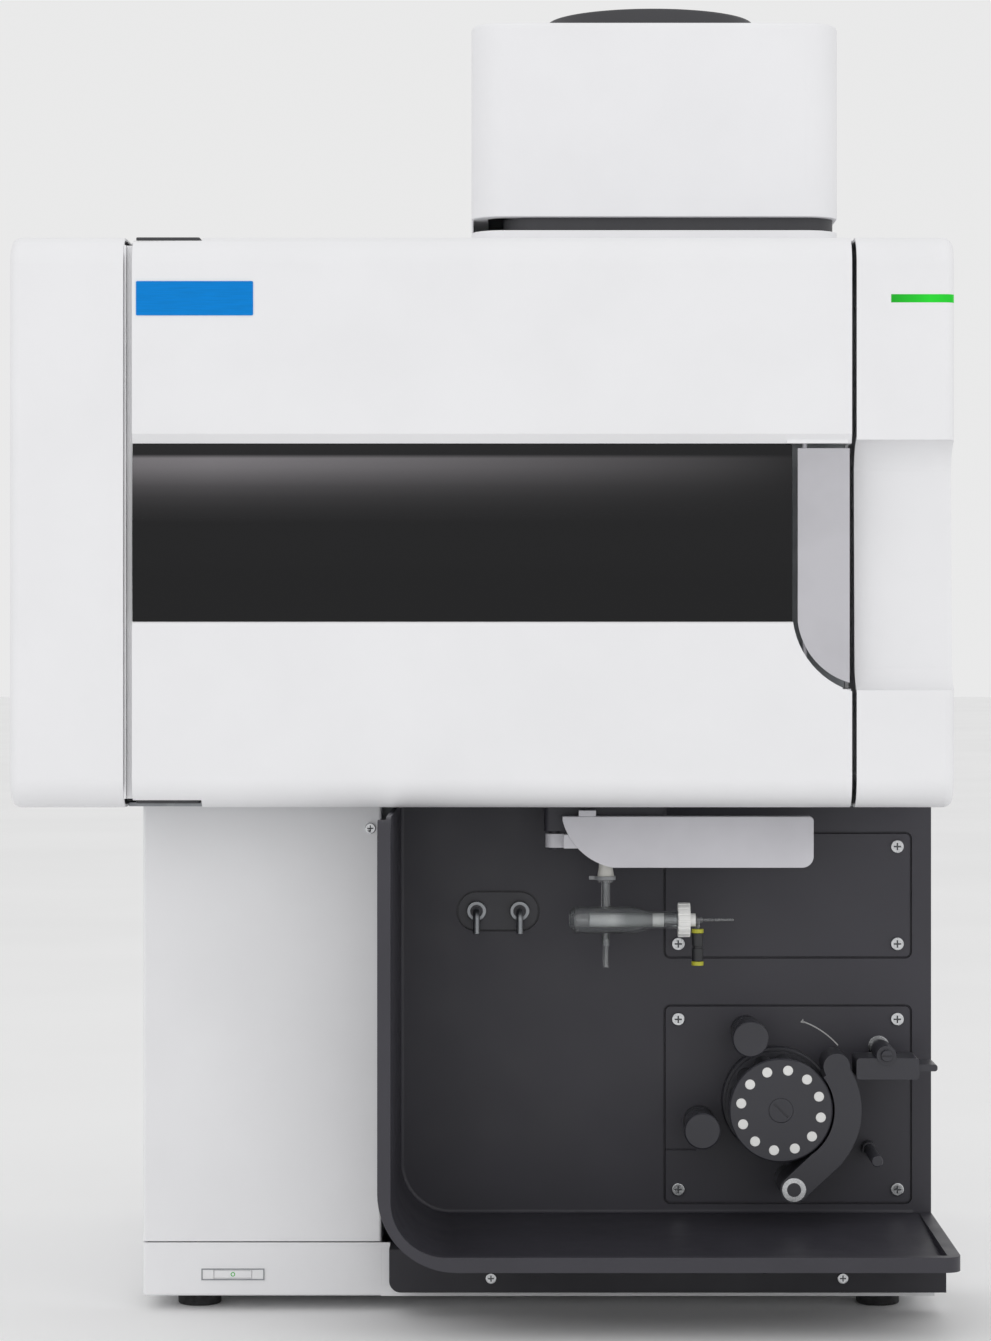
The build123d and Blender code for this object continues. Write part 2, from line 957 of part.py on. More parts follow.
# Badge plate, bare
with BuildPart() as badge_plate:
    block(
        badge_left, badge_left + badge_width, front_y - badge_sheet, front_y,
        badge_low, badge_low + badge_height,
    )
    fillet(badge_plate.edges().filter_by(Axis.Y), badge_round)
badge_plate.part.label = "badge_plate"
export_step(badge_plate.part, "parts/badge_plate.step")

# Door hinges: a plate on the bulkhead at top and bottom, each with its pin
plate_levels = (
    (top_plate_z + seam, top_plate_z + seam + hinge_plate),
    (low_plate_z - seam - hinge_plate, low_plate_z - seam),
)
with BuildPart() as door_hinges:
    for z_low, z_high in plate_levels:
        block(
            hinge_x - hinge_plate_reach, hinge_x + hinge_plate_half,
            hinge_y - hinge_plate_nose, bulkhead_y - sheet, z_low, z_high,
        )
    fillet(door_hinges.edges().filter_by(Axis.Z), hinge_plate)
    rod_z(
        hinge_x, hinge_y, body_top - hinge_pin_depth + seam, plate_levels[0][1],
        hinge_pin_radius,
    )
    rod_z(
        hinge_x, hinge_y, plate_levels[1][0],
        body_bottom + hinge_low_lift + hinge_pin_depth - seam, hinge_pin_radius,
    )
door_hinges.part.label = "door_hinges"
export_step(door_hinges.part, "parts/door_hinges.step")


def rounded_box(x0, x1, y0, y1, z0, z1, radius):
    """Box with its four upright edges rounded."""
    with BuildPart() as box:
        block(x0, x1, y0, y1, z0, z1)
        fillet(box.edges().filter_by(Axis.Z), radius)
    return box.part


# Cover of the upper cabinet, between the caps, with the low plinth of the chimney and the
# opening for the flue
chimney_right = chimney_left + chimney_width
chimney_back = chimney_front + chimney_depth
cover_front = door_back + sheet
cover_back = back_y - cap_back_trim
frame_x0 = cap_left_edge + seam
frame_x1 = cap_right_edge - seam
with BuildPart() as top_cover:
    block(frame_x0, frame_x1, cover_front, cover_back, body_top - cover_wall, body_top)
    chamfer(near(top_cover.edges().filter_by(Axis.X), "Z", body_top), seam)
    rod_z(
        flue_x, flue_y, body_top - cover_wall - overrun, body_top + overrun,
        flue_radius + fit, Mode.SUBTRACT,
    )
    block(
        frame_x0 - overrun, hinge_x + hinge_plate_half + seam, cover_front - overrun,
        bulkhead_y - sheet + seam, body_top - cover_wall - overrun, body_top + overrun,
        Mode.SUBTRACT,
    )
    add(rounded_box(
        chimney_left, chimney_right, chimney_front, chimney_back,
        chimney_base_low, chimney_base_high, chimney_round,
    ))
    chamfer(near(top_cover.edges(), "Z", chimney_base_high), seam)
    add(
        rounded_box(
            chimney_left + cover_wall, chimney_right - cover_wall,
            chimney_front + cover_wall, chimney_back - cover_wall,
            chimney_base_low, chimney_base_high - cover_wall, chimney_round - cover_wall,
        ),
        mode=Mode.SUBTRACT,
    )
    rod_z(
        flue_x, flue_y, chimney_base_low, chimney_base_high + overrun,
        flue_radius + fit, Mode.SUBTRACT,
    )
top_cover.part.label = "top_cover"
export_step(top_cover.part, "parts/top_cover.step")

# Pedestal: dark ring that carries the cover and leaves an air gap on its left
pedestal = (
    chimney_left + pedestal_left_gap, chimney_right - pedestal_side_inset,
    chimney_front + pedestal_front_inset, chimney_back - pedestal_front_inset,
)
with BuildPart() as chimney_pedestal:
    add(rounded_box(*pedestal, chimney_base_high, chimney_low, chimney_round - pedestal_side_inset))
    add(
        rounded_box(
            pedestal[0] + pedestal_wall, pedestal[1] - pedestal_wall,
            pedestal[2] + pedestal_wall, pedestal[3] - pedestal_wall,
            chimney_base_high, chimney_low, pedestal_wall,
        ),
        mode=Mode.SUBTRACT,
    )
chimney_pedestal.part.label = "chimney_pedestal"
export_step(chimney_pedestal.part, "parts/chimney_pedestal.step")

# Chimney cover: an upturned tub with an inward lip and a round opening on top
with BuildPart() as chimney_cover:
    add(rounded_box(
        chimney_left, chimney_right, chimney_front, chimney_back,
        chimney_low, chimney_high, chimney_round,
    ))
    fillet(near(chimney_cover.edges(), "Z", chimney_high), chimney_top_round)
    add(
        rounded_box(
            chimney_left + chimney_wall, chimney_right - chimney_wall,
            chimney_front + chimney_wall, chimney_back - chimney_wall,
            chimney_low + chimney_wall, chimney_high - chimney_wall,
            chimney_round - chimney_wall,
        ),
        mode=Mode.SUBTRACT,
    )
    add(
        rounded_box(
            chimney_left + chimney_lip, chimney_right - chimney_lip,
            chimney_front + chimney_lip, chimney_back - chimney_lip,
            chimney_low, chimney_low + chimney_wall, chimney_lip,
        ),
        mode=Mode.SUBTRACT,
    )
    rod_z(
        flue_x, flue_y, chimney_high - chimney_wall - overrun, chimney_high + overrun,
        flue_radius + fit, Mode.SUBTRACT,
    )
    block(
        chimney_left, chimney_left + skirt_left, chimney_front + chimney_round,
        chimney_back - chimney_round, chimney_low - skirt_drop, chimney_low,
    )
chimney_cover.part.label = "chimney_cover"
export_step(chimney_cover.part, "parts/chimney_cover.step")

# Exhaust flue: outlet ring over the cover, upright pipe, and the duct that leans forward from
# it to the torch compartment
with BuildPart() as exhaust_flue:
    rod_z(flue_x, flue_y, chimney_high, chimney_high + collar_height, collar_radius)
    fillet(near(exhaust_flue.edges(), "Z", chimney_high + collar_height), collar_edge)
    rod_z(flue_x, flue_y, body_top - cover_wall, chimney_high, flue_radius)
    for shrink, way in ((0, Mode.ADD), (duct_wall, Mode.SUBTRACT)):
        with BuildSketch(Plane.XY.offset(torch_box_high)):
            with Locations((torch_x, duct_low_y)):
                Circle(duct_low_radius - shrink)
        with BuildSketch(Plane.XY.offset(body_top - cover_wall)):
            with Locations((flue_x, flue_y)):
                Circle(flue_radius - shrink)
        loft(mode=way)
    rod_z(
        flue_x, flue_y, body_top - cover_wall, chimney_high + collar_height + overrun,
        flue_radius - flue_wall, Mode.SUBTRACT,
    )
exhaust_flue.part.label = "exhaust_flue"
export_step(exhaust_flue.part, "parts/exhaust_flue.step")

# Frame of the upper cabinet: floor with the torch hole, and side sheets folded at foot and head
floor_low = body_bottom
floor_high = body_bottom + upper_floor_sheet
rear_upper_y = back_y - rear_recess
with BuildPart() as upper_frame:
    block(frame_x0, frame_x1, cover_front, cover_back, floor_low, floor_high)
    rod_z(
        torch_x, torch_y, floor_low - overrun, floor_high + overrun,
        torch_hole_radius, Mode.SUBTRACT,
    )
    for edge, inward in ((frame_x0, 1), (frame_x1, -1)):
        inner = edge + inward * sheet
        turn = edge + inward * panel_flange
        block(
            min(edge, inner), max(edge, inner), bulkhead_y, rear_upper_y,
            floor_high, body_top - cover_wall,
        )
        block(
            min(edge, turn), max(edge, turn), bulkhead_y, rear_upper_y,
            floor_high, floor_high + sheet,
        )
        block(
            min(edge, turn), max(edge, turn), bulkhead_y, rear_upper_y,
            body_top - cover_wall - sheet, body_top - cover_wall,
        )
upper_frame.part.label = "upper_frame"
export_step(upper_frame.part, "parts/upper_frame.step")

# Torch compartment: a box with ways through for torch, light, coil and flue, welded to a
# bulkhead that is open in front of it
box_x0 = torch_x - torch_box_width / 2
box_x1 = torch_x + torch_box_width / 2
box_y0 = bulkhead_y
box_y1 = bulkhead_y + torch_box_depth
with BuildPart() as torch_compartment:
    block(
        frame_x0, frame_x1, bulkhead_y - sheet, bulkhead_y, floor_high,
        body_top - cover_wall,
    )
    block(box_x0, box_x1, box_y0, box_y1, floor_high, torch_box_high)
    block(
        box_x0 + torch_box_wall, box_x1 - torch_box_wall, box_y0 - overrun,
        box_y1 - torch_box_wall, floor_high + torch_box_wall,
        torch_box_high - torch_box_wall, Mode.SUBTRACT,
    )
    rod_z(
        torch_x, torch_y, floor_high - overrun, floor_high + 2 * torch_box_wall,
        torch_hole_radius, Mode.SUBTRACT,
    )
    rod_z(
        torch_x, duct_low_y, torch_box_high - 2 * torch_box_wall, torch_box_high + overrun,
        duct_low_radius - duct_wall, Mode.SUBTRACT,
    )
    rod_y(
        torch_x, plasma_z, box_y1 - 2 * torch_box_wall, box_y1 + overrun,
        snout_radius + fit, Mode.SUBTRACT,
    )
    for z in (coil_low, coil_low + coil_turns * coil_pitch):
        rod_y(
            torch_x + coil_radius, z, box_y1 - 2 * torch_box_wall, box_y1 + overrun,
            coil_tube + bearing_gap, Mode.SUBTRACT,
        )
    block(
        box_x0 + torch_window_inset, box_x1 - torch_window_inset,
        bulkhead_y - sheet - overrun, bulkhead_y + overrun,
        torch_window_low, torch_window_high, Mode.SUBTRACT,
    )
torch_compartment.part.label = "torch_compartment"
export_step(torch_compartment.part, "parts/torch_compartment.step")

# Torch: quartz tubes on a base that ends in the cup of the ball joint
with BuildPart() as torch_base:
    rod_z(torch_x, torch_y, torch_base_low, torch_base_high, torch_base_radius)
    fillet(torch_base.edges(), sheet)
    rod_z(torch_x, torch_y, cup_high, torch_base_low + sheet, cup_radius - sheet)
    with Locations((torch_x, torch_y, (cup_low + cup_high) / 2)):
        Cone(cup_radius, cup_radius - sheet, cup_high - cup_low)
    rod_z(torch_x, torch_y, cup_low - overrun, torch_base_high + overrun, cup_bore, Mode.SUBTRACT)
    rod_z(
        torch_x, torch_y, torch_base_high - 2 * coil_bend, torch_base_high + overrun,
        torch_tube_radius, Mode.SUBTRACT,
    )
torch_base.part.label = "torch_base"
export_step(torch_base.part, "parts/torch_base.step")

with BuildPart() as torch_tubes:
    tube_foot = torch_base_high - 2 * coil_bend
    rod_z(torch_x, torch_y, tube_foot, torch_tube_top, torch_tube_radius)
    rod_z(
        torch_x, torch_y, tube_foot + torch_tube_wall, torch_tube_top + overrun,
        torch_tube_radius - torch_tube_wall, Mode.SUBTRACT,
    )
    rod_z(torch_x, torch_y, tube_foot, torch_inner_top, torch_inner_radius)
    rod_z(
        torch_x, torch_y, tube_foot + torch_tube_wall, torch_inner_top + overrun,
        torch_inner_radius - torch_tube_wall, Mode.SUBTRACT,
    )
    rod_z(torch_x, torch_y, tube_foot, torch_inner_top - coil_pitch, cup_bore + torch_tube_wall)
    rod_z(
        torch_x, torch_y, tube_foot - overrun, torch_inner_top + overrun, cup_bore,
        Mode.SUBTRACT,
    )
torch_tubes.part.label = "torch_tubes"
export_step(torch_tubes.part, "parts/torch_tubes.step")

# Induction coil: copper tube wound round the torch, with both legs run to the back
leg_end = box_y1 + coil_leg_gap / 2
steps = 4 * coil_turns
with BuildPart() as induction_coil:
    with BuildLine() as coil_line:
        start = Vector(torch_x + coil_radius, torch_y, coil_low)
        Line(Vector(torch_x + coil_radius, leg_end, coil_low), start)
        heading = Vector(0, -1, 0)
        for step in range(1, steps + 1):
            angle = -2 * pi * step / 4
            point = Vector(
                torch_x + coil_radius * cos(angle), torch_y + coil_radius * sin(angle),
                coil_low + coil_pitch * step / 4,
            )
            turn = TangentArc(start, point, tangent=heading)
            heading = turn % 1
            start = point
        Line(start, start + Vector(0, torch_y - leg_end, 0) * -1)
    with BuildSketch(Plane(origin=coil_line.line @ 0, z_dir=coil_line.line % 0)):
        Circle(coil_tube)
    sweep(path=coil_line.line)
induction_coil.part.label = "induction_coil"
export_step(induction_coil.part, "parts/induction_coil.step")

# Clamp handle: a shallow tray on edge with a swept toe, a tab and the lug of its hinge
with BuildPart() as torch_handle:
    with BuildSketch(front_plane(handle_front)) as handle_face:
        with BuildLine():
            tip_low = handle_high - handle_tip_height
            top_end = (handle_right - handle_top_round, handle_high)
            side_high = (handle_right, handle_high - handle_top_round)
            side_low = (handle_right, handle_low + handle_low_round)
            low_end = (handle_right - handle_low_round, handle_low)
            Line((handle_left, handle_high), top_end)
            RadiusArc(top_end, side_high, handle_top_round)
            Line(side_high, side_low)
            RadiusArc(side_low, low_end, handle_low_round)
            Line(low_end, (handle_toe, handle_low))
            ThreePointArc(
                (handle_toe, handle_low), (handle_sag_x, handle_sag_z), (handle_left, tip_low),
            )
            Line((handle_left, tip_low), (handle_left, handle_high))
        make_face()
    extrude(amount=-handle_depth)
    front_edge = near(torch_handle.edges(), "Y", handle_front).filter_by(GeomType.LINE)
    fillet(near(front_edge, "Z", handle_high), seam * 2)
    with BuildSketch(front_plane(handle_front + handle_wall)):
        add(handle_face.sketch.moved(Location((0, handle_wall, 0))))
        offset(amount=-handle_wall, kind=Kind.INTERSECTION)
    extrude(amount=-handle_depth, mode=Mode.SUBTRACT)
    block(
        handle_tab_left, handle_tab_left + handle_tab_width, handle_front + seam,
        handle_front + handle_depth, handle_high, handle_high + handle_tab_height,
    )
    # Web and lug of the hinge
    rod_z(handle_pin_x, handle_pin_y, handle_lug_low, handle_lug_high, handle_lug_radius)
    block(
        handle_pin_x, torch_x - torch_base_radius - overrun,
        handle_pin_y - handle_lug_radius, handle_front + handle_depth,
        handle_lug_low, handle_lug_high,
    )
    block(
        handle_pin_x + handle_lug_radius, torch_x - torch_base_radius - overrun,
        handle_front + handle_wall / 2, handle_pin_y - handle_lug_radius,
        handle_lug_low, handle_lug_high,
    )
    rod_z(
        handle_pin_x, handle_pin_y, handle_lug_low - overrun, handle_lug_high + overrun,
        handle_pin_radius + bearing_gap, Mode.SUBTRACT,
    )
torch_handle.part.label = "torch_handle"
export_step(torch_handle.part, "parts/torch_handle.step")

# Torch clamp: block under the cabinet that the torch base passes through, with the shouldered
# pin of its handle
with BuildPart() as torch_clamp:
    block(clamp_left, clamp_right, clamp_front, clamp_back, clamp_low, floor_low)
    fillet(torch_clamp.edges().filter_by(Axis.Z), clamp_round)
    chamfer(near(torch_clamp.edges(), "Z", clamp_low), seam)
    rod_z(
        torch_x, torch_y, clamp_low - overrun, floor_low + overrun,
        torch_base_radius + touch_gap, Mode.SUBTRACT,
    )
    rod_z(
        handle_pin_x, handle_pin_y, clamp_low - overrun, clamp_low + handle_pin_radius * 4,
        handle_pin_radius, Mode.SUBTRACT,
    )
    rod_z(
        handle_pin_x, handle_pin_y, handle_lug_low - touch_gap,
        clamp_low + handle_pin_radius * 4, handle_pin_radius,
    )
    rod_z(
        handle_pin_x, handle_pin_y, handle_lug_low - touch_gap - handle_pin_head,
        handle_lug_low - touch_gap, handle_pin_head_radius,
    )
    rod_z(handle_pin_x, handle_pin_y, handle_lug_high + touch_gap, clamp_low, handle_pin_head_radius)
torch_clamp.part.label = "torch_clamp"
export_step(torch_clamp.part, "parts/torch_clamp.step")


def turned_x(points, z):
    """Solid turned on the torch's depth about an axis along X; points are (x, radius)."""
    with BuildPart() as turned:
        with BuildSketch(Plane(origin=(0, torch_y, z), x_dir=(1, 0, 0), z_dir=(0, -1, 0))):
            with BuildLine():
                Polyline(*points, close=True)
            make_face()
        revolve(axis=Axis((0, torch_y, z), (1, 0, 0)))
    return turned.part


# Spray chamber: glass body with an inner tube, a riser to the torch and a drain below
chamber_inner = chamber_radius - chamber_wall
neck_inner = chamber_neck_radius - chamber_wall
chamber_outline = (
    (chamber_left, 0), (chamber_left, chamber_radius - chamber_end_round),
    (chamber_left + chamber_end_round, chamber_radius), (chamber_shoulder, chamber_radius),
    (chamber_neck_start, chamber_neck_radius), (chamber_right, chamber_neck_radius),
    (chamber_right, 0),
)
chamber_space = (
    (chamber_left + chamber_wall, 0),
    (chamber_left + chamber_wall, chamber_inner - chamber_end_round),
    (chamber_left + chamber_wall + chamber_end_round, chamber_inner),
    (chamber_shoulder - chamber_wall, chamber_inner),
    (chamber_neck_start, neck_inner), (chamber_right + overrun, neck_inner),
    (chamber_right + overrun, 0),
)
with BuildPart() as spray_chamber:
    add(turned_x(chamber_outline, chamber_z))
    rod_z(torch_x, torch_y, chamber_z, cup_low - seam, riser_radius)
    for level in (cup_low - riser_flange_drop, cup_low - seam - riser_flange):
        rod_z(torch_x, torch_y, level, level + riser_flange, riser_flange_radius)
    rod_z(torch_x, torch_y, drain_low, chamber_z, drain_radius)
    add(turned_x(chamber_space, chamber_z), mode=Mode.SUBTRACT)
    rod_z(torch_x, torch_y, chamber_z, cup_low + overrun, cup_bore, Mode.SUBTRACT)
    rod_z(
        torch_x, torch_y, drain_low - overrun, chamber_z, drain_tip_radius + bearing_gap,
        Mode.SUBTRACT,
    )
    add(turned_x(
        (
            (inner_tube_left, neck_inner - fit - chamber_wall), (inner_tube_left, neck_inner - fit),
            (seal_left, neck_inner - fit), (seal_left, neck_inner - fit - chamber_wall),
        ),
        chamber_z,
    ))
    rod_z(torch_x, torch_y, drain_tip_low, drain_low + 2 * drain_tip_lap, drain_tip_radius)
    rod_z(
        torch_x, torch_y, drain_tip_low - overrun, drain_low + overrun + 2 * drain_tip_lap,
        drain_tip_radius / 2, Mode.SUBTRACT,
    )
spray_chamber.part.label = "spray_chamber"
export_step(spray_chamber.part, "parts/spray_chamber.step")

# Ribbed nut and its collar on the end of the chamber, with the sealing ring in the neck
with BuildPart() as nebuliser_nut:
    nut_right = nut_left + nut_width
    add(turned_x(
        (
            (nut_left, 0), (nut_left, nut_radius - seam), (nut_left + seam, nut_radius),
            (nut_right - seam, nut_radius), (nut_right, nut_radius - seam),
            (nut_right, nut_collar_radius), (nut_right + nut_collar, nut_collar_radius),
            (nut_right + nut_collar, 0),
        ),
        chamber_z,
    ))
    with BuildSketch(side_plane(nut_left)):
        with Locations((torch_y, chamber_z)):
            with PolarLocations(nut_radius, nut_ribs):
                Circle(nut_rib_radius)
    extrude(amount=nut_width, mode=Mode.SUBTRACT)
    add(
        turned_x(
            (
                (nut_left - overrun, 0), (nut_left - overrun, chamber_neck_radius + bearing_gap),
                (chamber_right + bearing_gap, chamber_neck_radius + bearing_gap),
                (chamber_right + bearing_gap, nebuliser_radius + bearing_gap),
                (nut_right + nut_collar + overrun, nebuliser_radius + bearing_gap),
                (nut_right + nut_collar + overrun, 0),
            ),
            chamber_z,
        ),
        mode=Mode.SUBTRACT,
    )
    add(turned_x(
        (
            (seal_left, nebuliser_radius + bearing_gap), (seal_left, neck_inner - bearing_gap),
            (seal_left + seal_width, neck_inner - bearing_gap),
            (seal_left + seal_width, nebuliser_radius + bearing_gap),
        ),
        chamber_z,
    ))
nebuliser_nut.part.label = "nebuliser_nut"
export_step(nebuliser_nut.part, "parts/nebuliser_nut.step")

# Nebuliser: glass body with a drawn tip, a capillary to the right and a gas side arm
with BuildPart() as nebuliser:
    body_end = side_arm_x + 2 * side_arm_radius
    add(turned_x(
        (
            (nebuliser_tip_left, 0), (nebuliser_tip_left, capillary_radius),
            (nebuliser_tip_left + seal_width, nebuliser_radius), (body_end, nebuliser_radius),
            (body_end + side_arm_radius, capillary_radius), (capillary_right, capillary_radius),
            (capillary_right, 0),
        ),
        chamber_z,
    ))
    rod_z(
        side_arm_x, torch_y, connector_high - connector_flange, chamber_z, side_arm_radius,
    )
nebuliser.part.label = "nebuliser"
export_step(nebuliser.part, "parts/nebuliser.step")

# Gas connector on the side arm: a body between two flanges
with BuildPart() as gas_connector:
    body_high = connector_high - connector_flange
    body_low = connector_low + connector_flange
    rod_z(side_arm_x, torch_y, body_low, body_high, connector_radius - connector_gap)
    for low in (connector_low + connector_flange, (body_low + body_high) / 2 + seam):
        rod_z(side_arm_x, torch_y, low + seam, low + (body_high - body_low) / 2 - 2 * seam,
              connector_radius)
    for low in (connector_low, body_high):
        rod_z(side_arm_x, torch_y, low, low + connector_flange, connector_flange_radius)
    rod_z(
        side_arm_x, torch_y, body_high - connector_radius, body_high + 2 * connector_flange,
        side_arm_radius + bearing_gap, Mode.SUBTRACT,
    )
gas_connector.part.label = "gas_connector"
export_step(gas_connector.part, "parts/gas_connector.step")

# Ball joint clip: a split ring round the cup with a finger tail
with BuildPart() as joint_clip:
    rod_z(torch_x, torch_y, cup_low, cup_low + clip_height, clip_radius)
    block(
        torch_x - clip_radius - clip_tail, torch_x - cup_radius,
        torch_y - clip_tail_width / 2, torch_y + clip_tail_width / 2,
        cup_low, cup_low + clip_height,
    )
    rod_z(
        torch_x, torch_y, cup_low - overrun, cup_high, cup_radius + bearing_gap, Mode.SUBTRACT,
    )
    block(
        torch_x, torch_x + 2 * clip_radius, torch_y - cup_radius / 2, torch_y + cup_radius / 2,
        cup_low - overrun, cup_high, Mode.SUBTRACT,
    )
joint_clip.part.label = "joint_clip"
export_step(joint_clip.part, "parts/joint_clip.step")


def liner_profile(left, low, corner, right, high):
    """Upright outline with one round corner at its lower left."""
    with BuildSketch(front_plane(0)) as profile:
        with BuildLine():
            Line((left, high), (left, low + corner))
            RadiusArc((left, low + corner), (left + corner, low), -corner)
            Line((left + corner, low), (right, low))
            Line((right, low), (right, high))
            Line((right, high), (left, high))
        make_face()
    return profile.sketch


def plate_tool(left, low, width, height, gap, radius, y0, y1):
    """Rounded plate on the back wall, larger by a gap all round."""
    with BuildPart() as plate:
        block(left - gap, left + width + gap, y0, y1, low - gap, low + height + gap)
        fillet(plate.edges().filter_by(Axis.Y), radius + gap)
    return plate.part


# Sample compartment: one dark moulding of back wall, left wall, tray and rim
wall_right = liner_right - rim_width
floor_low_edge = liner_low + rim_height
port_round = port_height / 2 - seam
wall_plates = (
    (access_left, access_low, access_width, access_height, plate_round),
    (pump_plate_left, pump_plate_low, pump_plate_width, pump_plate_height, plate_round),
    (port_left, port_low, port_width, port_height, port_round),
)
# Hollow over the sloping tray floor, behind the front rim
with BuildPart() as basin:
    with BuildSketch(front_plane(liner_back_y)):
        add(liner_profile(
            liner_left, floor_back, liner_corner - (floor_back - floor_front),
            wall_right, liner_high + overrun,
        ))
    with BuildSketch(front_plane(liner_front + rim_depth)):
        add(liner_profile(
            liner_left, floor_front, liner_corner, wall_right, liner_high + overrun,
        ))
    loft(ruled=True)
    back_edges = near(basin.edges(), "Y", liner_back_y)
    back_edges = back_edges.filter_by(lambda e: e.center().Z < liner_high)
    fillet(back_edges.filter_by(lambda e: e.center().X < wall_right - seam), liner_back_round)
with BuildPart() as compartment_liner:
    with BuildSketch(front_plane(liner_back_face)):
        add(liner_profile(
            liner_left - liner_wall, liner_low, liner_corner + liner_wall, liner_right, liner_high,
        ))
    extrude(amount=liner_back_face - liner_front)
    with BuildSketch(front_plane(liner_front + rim_depth)):
        add(liner_profile(
            liner_left - rim_width, liner_low, liner_corner + rim_width, liner_right, liner_high,
        ))
    extrude(amount=rim_depth)
    front_right = near(compartment_liner.edges().filter_by(Axis.Z), "X", liner_right)
    fillet(near(front_right, "Y", liner_front), tray_corner)
    add(basin.part, mode=Mode.SUBTRACT)
    # Open front and open right side over the rim
    with BuildSketch(front_plane(liner_front + rim_depth)):
        add(liner_profile(
            liner_left, floor_low_edge, liner_corner - rim_height + liner_wall,
            liner_right + overrun, liner_high + overrun,
        ))
    extrude(amount=rim_depth + overrun, mode=Mode.SUBTRACT)
    block(
        wall_right - overrun, liner_right + overrun, liner_front - overrun, liner_back_y,
        floor_low_edge, liner_high + overrun, Mode.SUBTRACT,
    )
    # Upper front corner of the left wall, rounded back under the cabinet
    with BuildSketch(side_plane(liner_left - rim_width - overrun)):
        with BuildLine():
            corner_low = (liner_front, liner_high - rim_corner)
            corner_high = (liner_front + rim_corner, liner_high)
            RadiusArc(corner_low, corner_high, rim_corner)
            Polyline(
                corner_high, (liner_front + rim_corner, liner_high + overrun),
                (liner_front - overrun, liner_high + overrun),
                (liner_front - overrun, liner_high - rim_corner), corner_low,
            )
        make_face()
    extrude(amount=rim_width + 2 * overrun, mode=Mode.SUBTRACT)
    # Openings for the plates, with a thin rebate behind for their laps
    for left, low, width, height, radius in wall_plates:
        add(
            plate_tool(left, low, width, height, plate_gap, radius,
                       liner_back_y - overrun, liner_back_face + overrun),
            mode=Mode.SUBTRACT,
        )
compartment_liner.part.label = "compartment_liner"
export_step(compartment_liner.part, "parts/compartment_liner.step")


def wall_plate(left, low, width, height, radius, screws):
    """Plate flush in the back wall, with a wider lap behind the wall and screw holes."""
    with BuildPart() as plate:
        add(plate_tool(left, low, width, height, 0, radius, liner_back_y, liner_back_face))
        add(plate_tool(
            left, low, width, height, plate_lap, radius,
            liner_back_face, liner_back_face + plate_lap_sheet,
        ))
        for x, z in screws:
            rod_y(x, z, liner_back_y, liner_back_y + screw_shank + seam,
                  screw_shank_radius + bearing_gap, Mode.SUBTRACT)
    return plate.part


def corner_screws(left, low, width, height):
    """Screw places near the four corners of a plate."""
    inset = plate_screw_inset
    return [
        (x, z)
        for x in (left + inset, left + width - inset)
        for z in (low + inset, low + height - inset)
    ]


access_screws = corner_screws(access_left, access_low, access_width, access_height)
pump_screws = corner_screws(
    pump_plate_left, pump_plate_low, pump_plate_width, pump_plate_height,
)

# Access plate over the service opening
with BuildPart() as access_plate:
    add(wall_plate(
        access_left, access_low, access_width, access_height, plate_round, access_screws,
    ))
access_plate.part.label = "access_plate"
export_step(access_plate.part, "parts/access_plate.step")

# Pump plate, with holes for the shafts and posts and a slot at its left
post_places = ((post_one_x, post_one_z), (post_two_x, post_two_z))
with BuildPart() as pump_plate:
    add(wall_plate(
        pump_plate_left, pump_plate_low, pump_plate_width, pump_plate_height, plate_round,
        pump_screws,
    ))
    rod_y(
        pump_x, pump_z, liner_back_y - overrun, liner_back_face + overrun,
        spindle_radius + fit, Mode.SUBTRACT,
    )
    block(
        pump_plate_left - overrun, pump_plate_left + plate_slot_length,
        liner_back_y - overrun, liner_back_y + liner_wall / 2,
        plate_slot_z - plate_slot_height / 2, plate_slot_z + plate_slot_height / 2,
        Mode.SUBTRACT,
    )
pump_plate.part.label = "pump_plate"
export_step(pump_plate.part, "parts/pump_plate.step")

# Gas ports: an obround plate with two collar rings, each with an elbow that turns down
port_z = port_low + port_height / 2
port_x = port_left + port_width / 2
port_places = ((port_x - port_spacing / 2, port_z), (port_x + port_spacing / 2, port_z))
with BuildPart() as gas_ports:
    add(wall_plate(port_left, port_low, port_width, port_height, port_round, ()))
    for x, z in port_places:
        rod_y(x, z, liner_back_y - port_ring_depth, liner_back_y, port_ring_radius)
    chamfer(near(gas_ports.edges(), "Y", liner_back_y - port_ring_depth), seam)
    for x, z in port_places:
        rod_y(
            x, z, liner_back_y - port_ring_depth - overrun, liner_back_y, port_ring_bore,
            Mode.SUBTRACT,
        )
    for x, z in port_places:
        rod_y(
            x, z, liner_back_y - port_ring_depth - seam, liner_back_y,
            port_ring_bore - bearing_gap,
        )
        with BuildLine() as elbow_line:
            FilletPolyline(
                (x, liner_back_y - port_ring_depth, z), (x, liner_back_y - elbow_reach, z),
                (x, liner_back_y - elbow_reach, z - elbow_drop), radius=elbow_bend,
            )
        with BuildSketch(front_plane(liner_back_y - port_ring_depth)):
            with Locations((x, z)):
                Circle(elbow_radius)
        sweep(path=elbow_line.line)
gas_ports.part.label = "gas_ports"
export_step(gas_ports.part, "parts/gas_ports.step")


def cross_screw(x, y, z, share):
    """Screw with a crowned head that faces the viewer and a cross recess."""
    head = screw_head * share
    radius = screw_head_radius * share
    with BuildPart() as screw:
        rod_y(x, z, y - head, y, radius)
        fillet(near(screw.edges(), "Y", y - head), screw_crown * share)
        rod_y(x, z, y, y + screw_shank, screw_shank_radius)
        half = screw_cross * share / 2
        narrow = screw_cross_width * share / 2
        for wide, high in ((half, narrow), (narrow, half)):
            block(
                x - wide, x + wide, y - head - overrun,
                y - head + screw_cross_depth * share, z - high, z + high, Mode.SUBTRACT,
            )
    return screw.part


